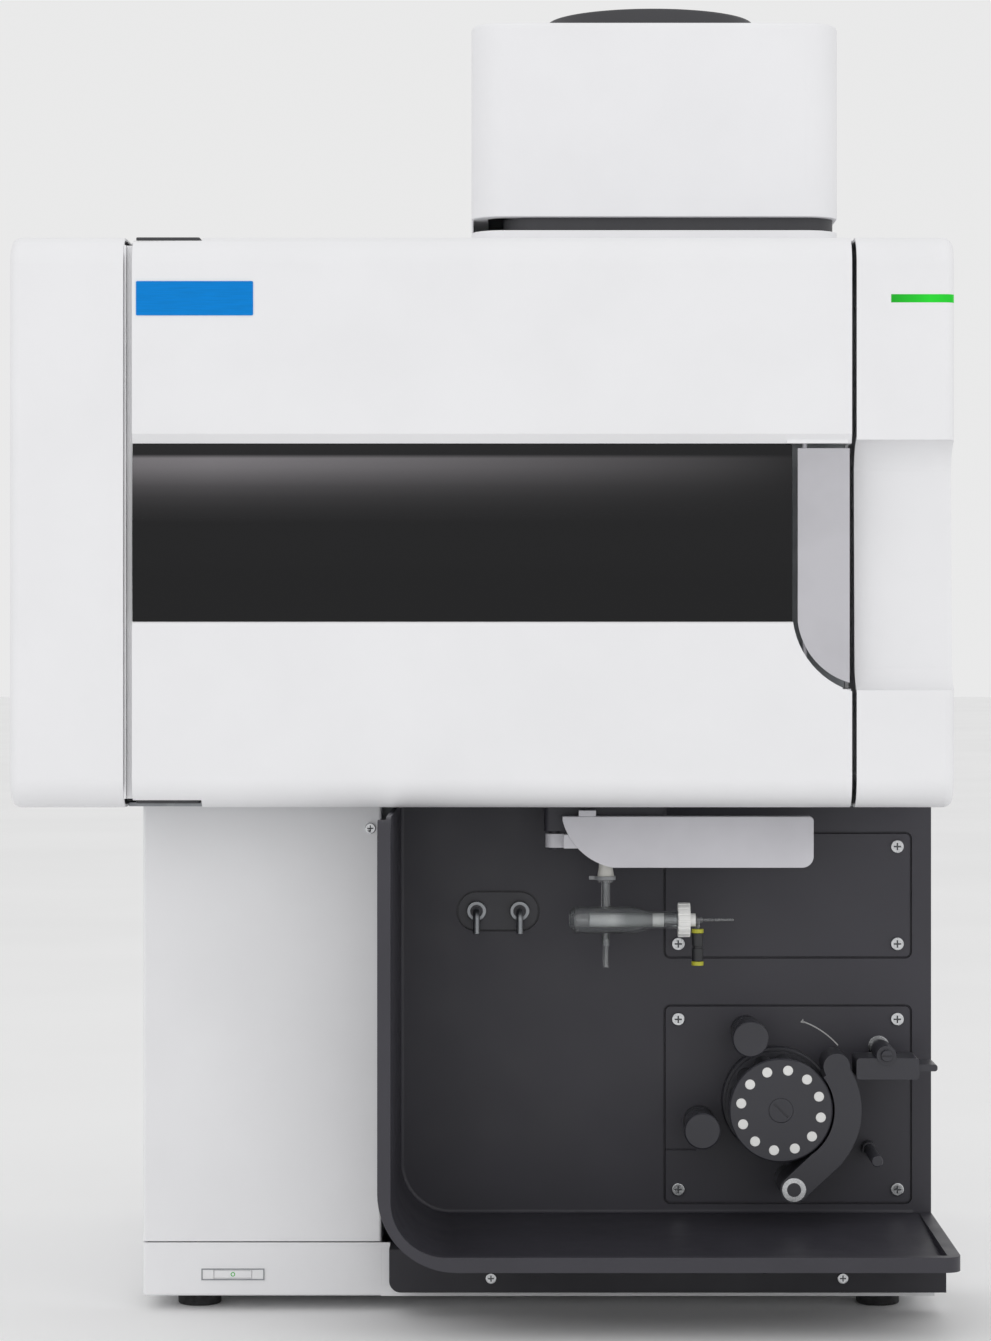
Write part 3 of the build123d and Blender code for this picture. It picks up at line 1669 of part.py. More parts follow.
# Screws of the two plates, the box under the tray and the lower front panel
box_places = [(box_screw_x, box_screw_z), (box_screw_x + box_screw_gap, box_screw_z)]
panel_screw = (panel_right - panel_screw_inset, panel_high - panel_screw_drop)
with BuildPart() as panel_screws:
    for x, z in access_screws + pump_screws:
        add(cross_screw(x, liner_back_y, z, 1))
    for x, z in box_places:
        add(cross_screw(x, box_front, z, small_screw_share))
    add(cross_screw(panel_screw[0], lower_front, panel_screw[1], small_screw_share))
panel_screws.part.label = "panel_screws"
export_step(panel_screws.part, "parts/panel_screws.step")

# Box under the tray, open to the back, with a row of rivets in its front
tray_under = liner_low
box_low = base_low + base_right_height
with BuildPart() as tray_box:
    block(box_left, liner_right, box_front, liner_back_face, box_low, tray_under)
    front_post = near(tray_box.edges().filter_by(Axis.Y), "X", box_left)
    fillet(near(front_post, "Z", box_low), box_round)
    block(
        box_left + box_wall, liner_right - box_wall, box_front + box_wall,
        liner_back_face + overrun, box_low + box_wall, tray_under - box_wall, Mode.SUBTRACT,
    )
    fillet(near(tray_box.edges().filter_by(Axis.Z), "Y", box_front), seam * 2)
    for x, z in box_places:
        rod_y(x, z, box_front, box_front + box_wall, screw_shank_radius + bearing_gap,
              Mode.SUBTRACT)
    for index in range(box_rivets):
        rod_y(
            box_rivet_first + index * box_rivet_step, box_rivet_z,
            box_front - overrun, box_front + seam, box_rivet_radius, Mode.SUBTRACT,
        )
tray_box.part.label = "tray_box"
export_step(tray_box.part, "parts/tray_box.step")

# Pump flange: round bearing housing on the pump plate
pump_flange_y = liner_back_y - pump_flange
with BuildPart() as pump_flange_disc:
    rod_y(pump_x, pump_z, pump_flange_y, liner_back_y, pump_flange_radius)
    chamfer(near(pump_flange_disc.edges(), "Y", pump_flange_y), rotor_edge)
    rod_y(
        pump_x, pump_z, pump_flange_y - overrun, liner_back_y + overrun,
        spindle_radius + bearing_gap, Mode.SUBTRACT,
    )
pump_flange_disc.part.label = "pump_flange"
export_step(pump_flange_disc.part, "parts/pump_flange.step")

# Pump motor with its spindle, behind the plate
motor_front = liner_back_face + plate_lap_sheet
rotor_back = pump_flange_y - rotor_gap
with BuildPart() as pump_motor:
    rod_y(pump_x, pump_z, motor_front, motor_front + motor_length, motor_radius)
    fillet(near(pump_motor.edges(), "Y", motor_front + motor_length), motor_cap)
    rod_y(
        pump_x, pump_z, motor_front + motor_cap, motor_front + 2 * motor_cap,
        motor_radius - rotor_edge, Mode.SUBTRACT,
    )
    rod_y(
        pump_x, pump_z, motor_front + motor_cap, motor_front + 2 * motor_cap,
        motor_radius - 2 * rotor_edge,
    )
pump_motor.part.label = "pump_motor"
export_step(pump_motor.part, "parts/pump_motor.step")

# Rotor: hub between two discs, with its spindle and the slotted screw in its middle
rotor_front = pump_front
roller_front = rotor_front + rotor_front_disc
roller_back = rotor_back - rotor_back_disc
with BuildPart() as pump_rotor:
    rod_y(pump_x, pump_z, rotor_front, roller_front, rotor_radius)
    chamfer(near(pump_rotor.edges(), "Y", rotor_front), rotor_edge)
    rod_y(pump_x, pump_z, roller_back, rotor_back, rotor_radius)
    rod_y(pump_x, pump_z, roller_front, roller_back, rotor_hub_radius)
    rod_y(pump_x, pump_z, rotor_back, motor_front - touch_gap, spindle_radius)
    rod_y(
        pump_x, pump_z, rotor_front - overrun, rotor_front + rotor_screw_seat,
        rotor_screw_radius + fit, Mode.SUBTRACT,
    )
    with BuildSketch(front_plane(rotor_front - overrun)):
        with Locations((pump_x, pump_z)):
            with PolarLocations(roller_ring, roller_count, start_angle=roller_first_angle):
                Circle(roller_pin_radius + roller_pin_gap)
    extrude(amount=-(rotor_back - rotor_front + overrun), mode=Mode.SUBTRACT)
    screw_face = rotor_front + rotor_screw_seat - rotor_screw_head
    rod_y(pump_x, pump_z, screw_face, rotor_front + rotor_screw_seat, rotor_screw_radius)
    fillet(near(pump_rotor.edges(), "Y", screw_face), seam)
    with BuildSketch(front_plane(screw_face - overrun)):
        with Locations(Location((pump_x, pump_z), rotor_screw_angle)):
            Rectangle(2 * rotor_screw_radius - 4 * rotor_edge, rotor_screw_slot)
    extrude(amount=-(overrun + rotor_screw_slot_depth), mode=Mode.SUBTRACT)
pump_rotor.part.label = "pump_rotor"
export_step(pump_rotor.part, "parts/pump_rotor.step")

# Twelve rollers, each with a journal at both ends
with BuildPart() as pump_rollers:
    with BuildSketch(front_plane(roller_front + roller_side_gap)):
        with Locations((pump_x, pump_z)):
            with PolarLocations(roller_ring, roller_count, start_angle=roller_first_angle):
                Circle(roller_radius)
    extrude(amount=-(roller_back - roller_front - 2 * roller_side_gap))
    with BuildSketch(front_plane(rotor_front - roller_side_gap)):
        with Locations((pump_x, pump_z)):
            with PolarLocations(roller_ring, roller_count, start_angle=roller_first_angle):
                Circle(roller_pin_radius)
    extrude(amount=-(rotor_back - rotor_front + roller_side_gap))
    fillet(near(pump_rollers.edges(), "Y", rotor_front - roller_side_gap), seam)
pump_rollers.part.label = "pump_rollers"
export_step(pump_rollers.part, "parts/pump_rollers.step")

# Pressure arm: a curved track beside the rotor, with a boss at its pivot
track_radius = rotor_radius + track_gap
arm_mid = track_radius + arm_width / 2
arm_back = pump_front + arm_depth


def around_pump(radius, angle):
    """Place at a distance and an angle from the pump's axis."""
    turn = radians(angle)
    return (pump_x + radius * cos(turn), pump_z + radius * sin(turn))


arm_foot = around_pump(arm_mid, arm_low_angle)
arm_head = around_pump(arm_mid + arm_end_lift, arm_end_angle)
foot_run = sqrt((arm_pivot_x - arm_foot[0]) ** 2 + (arm_pivot_z - arm_foot[1]) ** 2)
foot_turn = degrees(atan2(arm_pivot_z - arm_foot[1], arm_pivot_x - arm_foot[0]))
foot_mid = ((arm_pivot_x + arm_foot[0]) / 2, (arm_pivot_z + arm_foot[1]) / 2)
with BuildPart() as pressure_arm:
    with BuildSketch(front_plane(pump_front)):
        with BuildLine():
            outer_high = around_pump(track_radius + arm_width, arm_end_angle)
            outer_low = around_pump(track_radius + arm_width, arm_low_angle)
            inner_low = around_pump(track_radius, arm_low_angle)
            inner_high = around_pump(track_radius, arm_end_angle)
            middle = (arm_low_angle + arm_end_angle) / 2
            ThreePointArc(
                outer_high, around_pump(track_radius + arm_width, middle), outer_low,
            )
            Line(outer_low, inner_low)
            ThreePointArc(inner_low, around_pump(track_radius, middle), inner_high)
            Line(inner_high, outer_high)
        make_face()
        with Locations(arm_head):
            Circle(arm_end_radius)
        with Locations(Location(foot_mid, foot_turn)):
            SlotCenterToCenter(foot_run, 2 * arm_boss_radius)
        with Locations((pump_x, pump_z)):
            Circle(track_radius, mode=Mode.SUBTRACT)
    extrude(amount=-arm_depth)
    rod_y(
        arm_pivot_x, arm_pivot_z, pump_front - overrun, arm_back + overrun,
        arm_pivot_radius + bearing_gap, Mode.SUBTRACT,
    )
pressure_arm.part.label = "pressure_arm"
export_step(pressure_arm.part, "parts/pressure_arm.step")

ring_face = pump_front - ring_depth

# Bright rings: retaining ring on the arm's pin and guard ring round the lever shaft
with BuildPart() as bright_rings:
    rod_y(arm_pivot_x, arm_pivot_z, ring_face - touch_gap, pump_front - touch_gap, ring_outer)
    rod_y(
        arm_pivot_x, arm_pivot_z, ring_face - overrun, pump_front, arm_pivot_radius,
        Mode.SUBTRACT,
    )
    rod_y(shaft_x, shaft_z, liner_back_y - ring_depth, liner_back_y, shaft_ring_outer)
    rod_y(
        shaft_x, shaft_z, liner_back_y - overrun, liner_back_y, shaft_radius + bearing_gap,
        Mode.SUBTRACT,
    )
    fillet(
        near(bright_rings.edges(), "Y", ring_face - touch_gap)
        + near(bright_rings.edges(), "Y", liner_back_y - ring_depth),
        seam / 2,
    )
bright_rings.part.label = "bright_rings"
export_step(bright_rings.part, "parts/bright_rings.step")

# Clamp lever: block and finger plate that hang from a hub on the shaft
lever_back = pump_front + lever_depth
with BuildPart() as clamp_lever:
    block(lever_left, lever_right, pump_front, lever_back, lever_low, lever_high)
    fillet(clamp_lever.edges().filter_by(Axis.Y), lever_round)
    with BuildSketch(Plane.XY.offset(lever_tip_low)):
        with BuildLine():
            Polyline(
                (lever_right - lever_round, pump_front + lever_round),
                (lever_tip, pump_front + lever_round),
                (lever_tip, lever_back - lever_hub_radius),
                (lever_right - lever_round, lever_back),
                close=True,
            )
        make_face()
    extrude(amount=lever_tip_high - lever_tip_low)
    tip_face = clamp_lever.faces().filter_by(Axis.X).sort_by(Axis.X)[-1]
    fillet(tip_face.outer_wire().edges().filter_by(Axis.Y), lever_round - seam)
    rod_y(shaft_x, shaft_z, pump_front - seam * 2, lever_back, lever_hub_radius)
    rod_y(
        shaft_x, shaft_z, pump_front - overrun, lever_back + overrun,
        shaft_radius + bearing_gap, Mode.SUBTRACT,
    )
clamp_lever.part.label = "clamp_lever"
export_step(clamp_lever.part, "parts/clamp_lever.step")

# Pump shafts: the arm's pin with its collar, and the slotted shaft of the lever
with BuildPart() as pump_shafts:
    rod_y(arm_pivot_x, arm_pivot_z, ring_face - seam, liner_back_y, arm_pivot_radius)
    rod_y(arm_pivot_x, arm_pivot_z, arm_back + touch_gap, liner_back_y, arm_boss_radius)
    rod_y(shaft_x, shaft_z, shaft_front, liner_back_y, shaft_radius)
    rod_y(shaft_x, shaft_z, lever_back + touch_gap, liner_back_y - ring_depth, shaft_ring_inner)
    chamfer(near(pump_shafts.edges(), "Y", shaft_front), seam)
    block(
        shaft_x - shaft_radius, shaft_x + shaft_radius, shaft_front - overrun,
        shaft_front + shaft_slot_depth, shaft_z - shaft_slot / 2, shaft_z + shaft_slot / 2,
        Mode.SUBTRACT,
    )
pump_shafts.part.label = "pump_shafts"
export_step(pump_shafts.part, "parts/pump_shafts.step")

# Pump posts: two grooved posts with a wide head, and a slim stop post with a thicker foot
with BuildPart() as pump_posts:
    for x, z in post_places:
        rod_y(x, z, pump_front, pump_front + post_head, post_head_radius)
        rod_y(x, z, pump_front + post_head, liner_back_y, post_radius)
    chamfer(near(pump_posts.edges(), "Y", pump_front), post_edge)
    for x, z in post_places:
        for index in range(post_grooves):
            groove = pump_front + post_head + post_groove + index * post_groove_step
            with BuildSketch(front_plane(groove)):
                with Locations((x, z)):
                    Circle(post_radius + overrun)
                    Circle(post_radius - post_groove_depth, mode=Mode.SUBTRACT)
            extrude(amount=-post_groove, mode=Mode.SUBTRACT)
    rod_y(stop_x, stop_z, stop_front, liner_back_y, stop_radius)
    chamfer(near(pump_posts.edges(), "Y", stop_front), stop_edge)
    rod_y(stop_x, stop_z, liner_back_y - stop_base, liner_back_y, stop_base_radius)
pump_posts.part.label = "pump_posts"
export_step(pump_posts.part, "parts/pump_posts.step")

# Base of the lower cabinet: a folded pan, high at the left and low under the tray
base_top = base_low + base_left_height
base_right_top = base_low + base_right_height
with BuildPart() as base_pan:
    block(
        lower_left, panel_right, lower_front, lower_panel_back, base_low, base_top,
    )
    fillet(base_pan.edges().filter_by(Axis.Z).sort_by(Axis.X)[0:2], panel_round)
    fillet(near(near(base_pan.edges().filter_by(Axis.X), "Y", lower_front), "Z", base_low), panel_round)
    block(
        lower_left + base_sheet, panel_right - base_sheet, lower_front + base_sheet,
        lower_panel_back - base_sheet, base_low + base_sheet, base_top + overrun, Mode.SUBTRACT,
    )
    block(panel_right, base_right, lower_front, lower_panel_back, base_low, base_right_top)
    block(
        panel_right - overrun, base_right - base_sheet, lower_front + base_sheet,
        lower_panel_back - base_sheet, base_low + base_sheet, base_top + overrun, Mode.SUBTRACT,
    )
    block(
        panel_right - base_sheet, panel_right, lower_front + base_sheet, liner_back_face,
        base_low + base_sheet, base_top,
    )
    block(
        bezel_left + bezel_body_wall, bezel_left + bezel_width - bezel_body_wall,
        lower_front - overrun, lower_front + overrun,
        bezel_low + bezel_body_wall, bezel_low + bezel_height - bezel_body_wall, Mode.SUBTRACT,
    )
base_pan.part.label = "base_pan"
export_step(base_pan.part, "parts/base_pan.step")

# Lower front panel with its folded edges
with BuildPart() as lower_front_panel:
    block(
        lower_left, panel_right, lower_front, lower_front + panel_flange,
        panel_low, panel_high,
    )
    front_posts = near(lower_front_panel.edges().filter_by(Axis.Z), "Y", lower_front)
    fillet(front_posts, panel_round)
    block(
        lower_left + sheet, panel_right - sheet, lower_front + sheet,
        lower_front + panel_flange + overrun, panel_low + sheet, panel_high - sheet,
        Mode.SUBTRACT,
    )
    rod_y(
        panel_screw[0], panel_screw[1], lower_front - overrun, lower_front + sheet + overrun,
        screw_shank_radius + bearing_gap, Mode.SUBTRACT,
    )
lower_front_panel.part.label = "lower_front_panel"
export_step(lower_front_panel.part, "parts/lower_front_panel.step")

# Side panels of the lower cabinet; the right one hangs on the frame by its folded head
side_panel_front = lower_front + panel_flange + seam
right_panel_front = liner_back_face + plate_lap_sheet + seam
frame_left = lower_left + base_sheet
frame_right = base_right - base_sheet
frame_left_front = lower_front + panel_flange
frame_back = rear_cover_y
with BuildPart() as lower_side_panels:
    block(
        lower_left, lower_left + sheet, side_panel_front, lower_panel_back, panel_low, panel_high,
    )
    block(
        lower_left, lower_left + panel_flange, lower_panel_back - sheet, lower_panel_back,
        panel_low, panel_high,
    )
    block(
        lower_right_side - sheet, lower_right_side, right_panel_front, lower_panel_back,
        box_low, panel_high,
    )
    block(
        lower_right_side - panel_flange, lower_right_side, lower_panel_back - sheet,
        lower_panel_back, box_low, panel_high,
    )
    block(
        frame_right, lower_right_side, frame_front, frame_back,
        panel_high - sheet, panel_high,
    )
lower_side_panels.part.label = "lower_side_panels"
export_step(lower_side_panels.part, "parts/lower_side_panels.step")

# Frame of the lower cabinet: four posts joined by rails, standing in the base pan
frame_low = base_low + base_sheet
frame_high = body_bottom
post_spots = (
    (frame_left, frame_left_front), (frame_left, frame_back - bar),
    (frame_right - bar, frame_front), (frame_right - bar, frame_back - bar),
)
rail_levels = (frame_low, frame_high - bar)
with BuildPart() as lower_frame:
    for x, y in post_spots:
        block(x, x + bar, y, y + bar, frame_low, frame_high)
    for z in rail_levels:
        block(frame_left, frame_left + bar, frame_left_front, frame_back, z, z + bar)
        block(frame_right - bar, frame_right, frame_front, frame_back, z, z + bar)
        block(frame_left, frame_right - bar, frame_back - bar, frame_back, z, z + bar)
        block(frame_left, frame_right - bar, frame_front, frame_front + bar, z, z + bar)
lower_frame.part.label = "lower_frame"
export_step(lower_frame.part, "parts/lower_frame.step")

# Rubber feet with their studs
foot_places = [
    (x, y)
    for x in (lower_left + foot_inset_x, base_right - foot_inset_x)
    for y in (lower_front + foot_inset_y, lower_panel_back - foot_inset_y)
]
with BuildPart() as feet:
    for x, y in foot_places:
        rod_z(x, y, 0, base_low, foot_radius)
    fillet(near(feet.edges(), "Z", 0), foot_edge)
feet.part.label = "feet"
export_step(feet.part, "parts/feet.step")

# Power button: bezel in the base and the button that slides in it
button_mid_x = bezel_left + bezel_width / 2
button_mid_z = bezel_low + bezel_height / 2
button_left = button_mid_x - button_width / 2
button_low = button_mid_z - button_height / 2
with BuildPart() as power_bezel:
    block(
        bezel_left, bezel_left + bezel_width, lower_front - bezel_proud, lower_front,
        bezel_low, bezel_low + bezel_height,
    )
    fillet(power_bezel.edges().filter_by(Axis.Y), bezel_round)
    block(
        bezel_left + bezel_body_wall, bezel_left + bezel_width - bezel_body_wall,
        lower_front, lower_front + bezel_body_depth,
        bezel_low + bezel_body_wall, bezel_low + bezel_height - bezel_body_wall,
    )
    block(
        button_left - button_gap, button_left + button_width + button_gap,
        lower_front - bezel_proud - overrun, lower_front + button_body + button_travel + seam,
        button_low - button_gap, button_low + button_height + button_gap, Mode.SUBTRACT,
    )
power_bezel.part.label = "power_bezel"
export_step(power_bezel.part, "parts/power_bezel.step")

with BuildPart() as power_button:
    block(
        button_left, button_left + button_width, lower_front - bezel_proud,
        lower_front + button_body, button_low, button_low + button_height,
    )
    chamfer(near(power_button.edges(), "Y", lower_front - bezel_proud), button_edge)
power_button.part.label = "power_button"
export_step(power_button.part, "parts/power_button.step")

# Optics housing: ribbed casting on four feet, with the cone that takes in the light of the plasma
optics_low = floor_high + optics_foot
with BuildPart() as optics_housing:
    block(optics_left, optics_right, optics_front, optics_back, optics_low, optics_high)
    fillet(optics_housing.edges().filter_by(Axis.Z), optics_round)
    block(
        optics_left + optics_wall, optics_right - optics_wall, optics_front + optics_wall,
        optics_back - optics_wall, optics_low + optics_wall, optics_high + overrun,
        Mode.SUBTRACT,
    )
    rod_y(
        torch_x, plasma_z, optics_front - overrun, optics_front + 2 * optics_wall,
        snout_bore, Mode.SUBTRACT,
    )
    rib_step = (optics_right - optics_left) / (optics_ribs + 1)
    for index in range(optics_ribs):
        rib_x = optics_left + (index + 1) * rib_step
        block(
            rib_x - optics_rib / 2, rib_x + optics_rib / 2, optics_back,
            optics_back + optics_rib, optics_low + optics_round, optics_high - optics_round,
        )
    for x in (optics_left + 2 * optics_round, optics_right - 2 * optics_round):
        for y in (optics_front + 2 * optics_round, optics_back - 2 * optics_round):
            rod_z(x, y, floor_high, optics_low, optics_round)
    with BuildSketch(Plane(origin=(torch_x, 0, plasma_z), x_dir=(1, 0, 0), z_dir=(0, 0, 1))):
        with BuildLine():
            snout_tip = box_y1 - 2 * snout_flare
            Polyline(
                (snout_bore, snout_tip), (snout_bore + sheet, snout_tip),
                (snout_radius, box_y1 - torch_box_wall - overrun), (snout_radius, optics_front),
                (snout_bore, optics_front), close=True,
            )
        make_face()
    revolve(axis=Axis((torch_x, 0, plasma_z), (0, 1, 0)))
optics_housing.part.label = "optics_housing"
export_step(optics_housing.part, "parts/optics_housing.step")

# Optics cover with the finned detector housing on it
detector_low = optics_high + optics_lid
with BuildPart() as optics_cover:
    add(rounded_box(
        optics_left, optics_right, optics_front, optics_back, optics_high,
        optics_high + optics_lid, optics_round,
    ))
    chamfer(near(optics_cover.edges(), "Z", optics_high + optics_lid), sheet)
    rod_z(detector_x, detector_y, detector_low, detector_low + detector_height, detector_radius)
    for index in range(detector_fins):
        groove = detector_low + detector_fin_step * (index + 1)
        with BuildSketch(Plane.XY.offset(groove)):
            with Locations((detector_x, detector_y)):
                Circle(detector_radius + overrun)
                Circle(detector_radius - detector_fin_depth, mode=Mode.SUBTRACT)
        extrude(amount=detector_fin, mode=Mode.SUBTRACT)
optics_cover.part.label = "optics_cover"
export_step(optics_cover.part, "parts/optics_cover.step")

# Radio frequency generator: slotted case beside the torch compartment
with BuildPart() as rf_generator:
    block(rf_left, rf_right, rf_front, rf_back, floor_high, rf_high)
    block(
        rf_left + sheet, rf_right - sheet, rf_front + sheet, rf_back + overrun,
        floor_high + sheet, rf_high - sheet, Mode.SUBTRACT,
    )
    for index in range(rf_slot_count):
        slot_z = rf_high - rf_slot_step * (index + 2)
        slot_mid = (rf_left + rf_right) / 2
        block(
            slot_mid - rf_slot_length / 2, slot_mid + rf_slot_length / 2,
            rf_front - overrun, rf_front + sheet + overrun,
            slot_z - rf_slot_height / 2, slot_z + rf_slot_height / 2, Mode.SUBTRACT,
        )
rf_generator.part.label = "rf_generator"
export_step(rf_generator.part, "parts/rf_generator.step")

# Power supply on the base pan
with BuildPart() as power_supply:
    block(supply_left, supply_right, supply_front, supply_back, frame_low, supply_high)
    block(
        supply_left + sheet, supply_right - sheet, supply_front + sheet, supply_back - sheet,
        frame_low + sheet, supply_high - sheet, Mode.SUBTRACT,
    )
    for index in range(rf_slot_count):
        slot_x = supply_left + rf_slot_step * (index + 4)
        block(
            slot_x - rf_slot_height / 2, slot_x + rf_slot_height / 2,
            supply_front + rf_slot_step, supply_back - rf_slot_step,
            supply_high - sheet - overrun, supply_high + overrun, Mode.SUBTRACT,
        )
power_supply.part.label = "power_supply"
export_step(power_supply.part, "parts/power_supply.step")

# Control board on the rear rail, with its chips
board_face = frame_back - bar - board_sheet
with BuildPart() as control_board:
    block(board_left, board_right, board_face, board_face + board_sheet, frame_low, board_high)
    chip_columns = int((board_right - board_left) // board_chip_step)
    chip_rows = int((board_high - frame_low) // board_chip_step)
    for column in range(chip_columns):
        for row in range(chip_rows):
            chip_x = board_left + board_chip_step * (column + 0.5)
            chip_z = frame_low + board_chip_step * (row + 0.5)
            size = board_chip if (column + row) % 2 else board_chip / 2
            block(
                chip_x - size / 2, chip_x + size / 2, board_face - board_chip_height,
                board_face, chip_z - size / 2, chip_z + size / 2,
            )
control_board.part.label = "control_board"
export_step(control_board.part, "parts/control_board.step")

# Gas manifold behind the gas ports
with BuildPart() as gas_manifold:
    block(
        manifold_left, manifold_left + manifold_width, motor_front,
        motor_front + manifold_depth, manifold_low, manifold_low + manifold_height,
    )
    fillet(gas_manifold.edges().filter_by(Axis.Z), sheet)
    for x, z in port_places:
        rod_z(
            x, motor_front + manifold_depth / 2, manifold_low + manifold_height,
            manifold_low + manifold_height + gas_hex, gas_hex_radius,
        )
gas_manifold.part.label = "gas_manifold"
export_step(gas_manifold.part, "parts/gas_manifold.step")

# Rear covers: lower and upper sheet, with vent slots and the cut-outs of fan, inlet, switch,
# gas and water
fan_face = rear_cover_y
gas_places = [(gas_inlet_x + index * gas_inlet_step, gas_inlet_z) for index in range(gas_inlets)]
water_places = [
    (gas_inlet_x + index * gas_inlet_step, water_inlet_z) for index in range(water_inlets)
]
inner_right = lower_right_side - sheet
switch_z = inlet_z
with BuildPart() as rear_covers:
    block(
        frame_left, inner_right, rear_cover_y, rear_cover_y + sheet,
        base_right_top + fit, frame_high - fit,
    )
    block(frame_x0, frame_x1, rear_cover_y, rear_cover_y + sheet, floor_high, body_top - cover_wall)
    for index in range(slot_count):
        slot_z = upper_slot_z + index * slot_step
        block(
            upper_slot_x, upper_slot_x + slot_length, rear_cover_y - overrun,
            rear_cover_y + sheet + overrun, slot_z, slot_z + slot_height, Mode.SUBTRACT,
        )
    rod_y(
        fan_x, fan_z, rear_cover_y - overrun, rear_cover_y + sheet + overrun, fan_bore,
        Mode.SUBTRACT,
    )
    block(
        inlet_x - inlet_well_width / 2 - sheet, inlet_x + inlet_well_width / 2 + sheet,
        rear_cover_y - overrun, rear_cover_y + sheet + overrun,
        inlet_z - inlet_well_height / 2 - sheet, inlet_z + inlet_well_height / 2 + sheet,
        Mode.SUBTRACT,
    )
    block(
        switch_x - switch_width / 2, switch_x + switch_width / 2,
        rear_cover_y - overrun, rear_cover_y + sheet + overrun,
        switch_z - switch_height / 2, switch_z + switch_height / 2, Mode.SUBTRACT,
    )
    for x, z in gas_places + water_places:
        rod_y(
            x, z, rear_cover_y - overrun, rear_cover_y + sheet + overrun,
            gas_thread_radius + bearing_gap, Mode.SUBTRACT,
        )
rear_covers.part.label = "rear_covers"
export_step(rear_covers.part, "parts/rear_covers.step")

# Fan: square frame with struts to its bearing boss, and the wire grille outside the cover
hub_back = fan_face - fan_stator - touch_gap
hub_front = hub_back - fan_rotor_depth
with BuildPart() as fan_frame:
    block(
        fan_x - fan_size / 2, fan_x + fan_size / 2, fan_face - fan_depth, fan_face,
        fan_z - fan_size / 2, fan_z + fan_size / 2,
    )
    fillet(fan_frame.edges().filter_by(Axis.Y), fan_round)
    rod_y(
        fan_x, fan_z, fan_face - fan_depth - overrun, fan_face + overrun, fan_bore,
        Mode.SUBTRACT,
    )
    rod_y(fan_x, fan_z, fan_face - fan_stator, fan_face, fan_stator_radius)
    rod_y(
        fan_x, fan_z, hub_front + fan_pin_radius, fan_face - fan_stator, fan_pin_radius,
    )
    block(
        fan_x - fan_bore - fan_strut / 2, fan_x + fan_bore + fan_strut / 2,
        fan_face - fan_stator, fan_face, fan_z - fan_strut / 2, fan_z + fan_strut / 2,
    )
    block(
        fan_x - fan_strut / 2, fan_x + fan_strut / 2, fan_face - fan_stator, fan_face,
        fan_z - fan_bore - fan_strut / 2, fan_z + fan_bore + fan_strut / 2,
    )
fan_frame.part.label = "fan_frame"
export_step(fan_frame.part, "parts/fan_frame.step")

# Fan rotor: hub cup on the pin, with pitched blades
with BuildPart() as fan_rotor:
    blade_mid = (hub_front + hub_back) / 2
    for index in range(fan_blades):
        turn = index * 360 / fan_blades
        place = (
            fan_x + fan_blade_radius / 2 * sin(radians(turn)), blade_mid,
            fan_z + fan_blade_radius / 2 * cos(radians(turn)),
        )
        with Locations(Location(place, (0, turn, fan_blade_pitch))):
            Box(fan_blade_chord, fan_blade_sheet, fan_blade_radius)
    rod_y(fan_x, fan_z, hub_front, hub_back, fan_hub_radius)
    fillet(near(fan_rotor.edges(), "Y", hub_front), fan_strut / 2)
    rod_y(
        fan_x, fan_z, hub_front + fan_pin_radius - fit, hub_back + overrun,
        fan_pin_radius + bearing_gap, Mode.SUBTRACT,
    )
fan_rotor.part.label = "fan_rotor"
export_step(fan_rotor.part, "parts/fan_rotor.step")

# Wire grille over the fan: rings on crossed bars whose ends lie on the cover
cover_face = rear_cover_y + sheet
with BuildPart() as fan_grille:
    for wide, high in (
        (fan_bore + grille_tab, grille_wire / 2), (grille_wire / 2, fan_bore + grille_tab),
    ):
        block(
            fan_x - wide, fan_x + wide, cover_face, cover_face + grille_wire,
            fan_z - high, fan_z + high,
        )
    for index in range(grille_rings):
        ring_radius = grille_first + index * grille_step
        with BuildSketch(front_plane(cover_face + 2 * grille_wire)):
            with Locations((fan_x, fan_z)):
                Circle(ring_radius + grille_wire / 2)
                Circle(ring_radius - grille_wire / 2, mode=Mode.SUBTRACT)
        extrude(amount=grille_wire)
fan_grille.part.label = "fan_grille"
export_step(fan_grille.part, "parts/fan_grille.step")

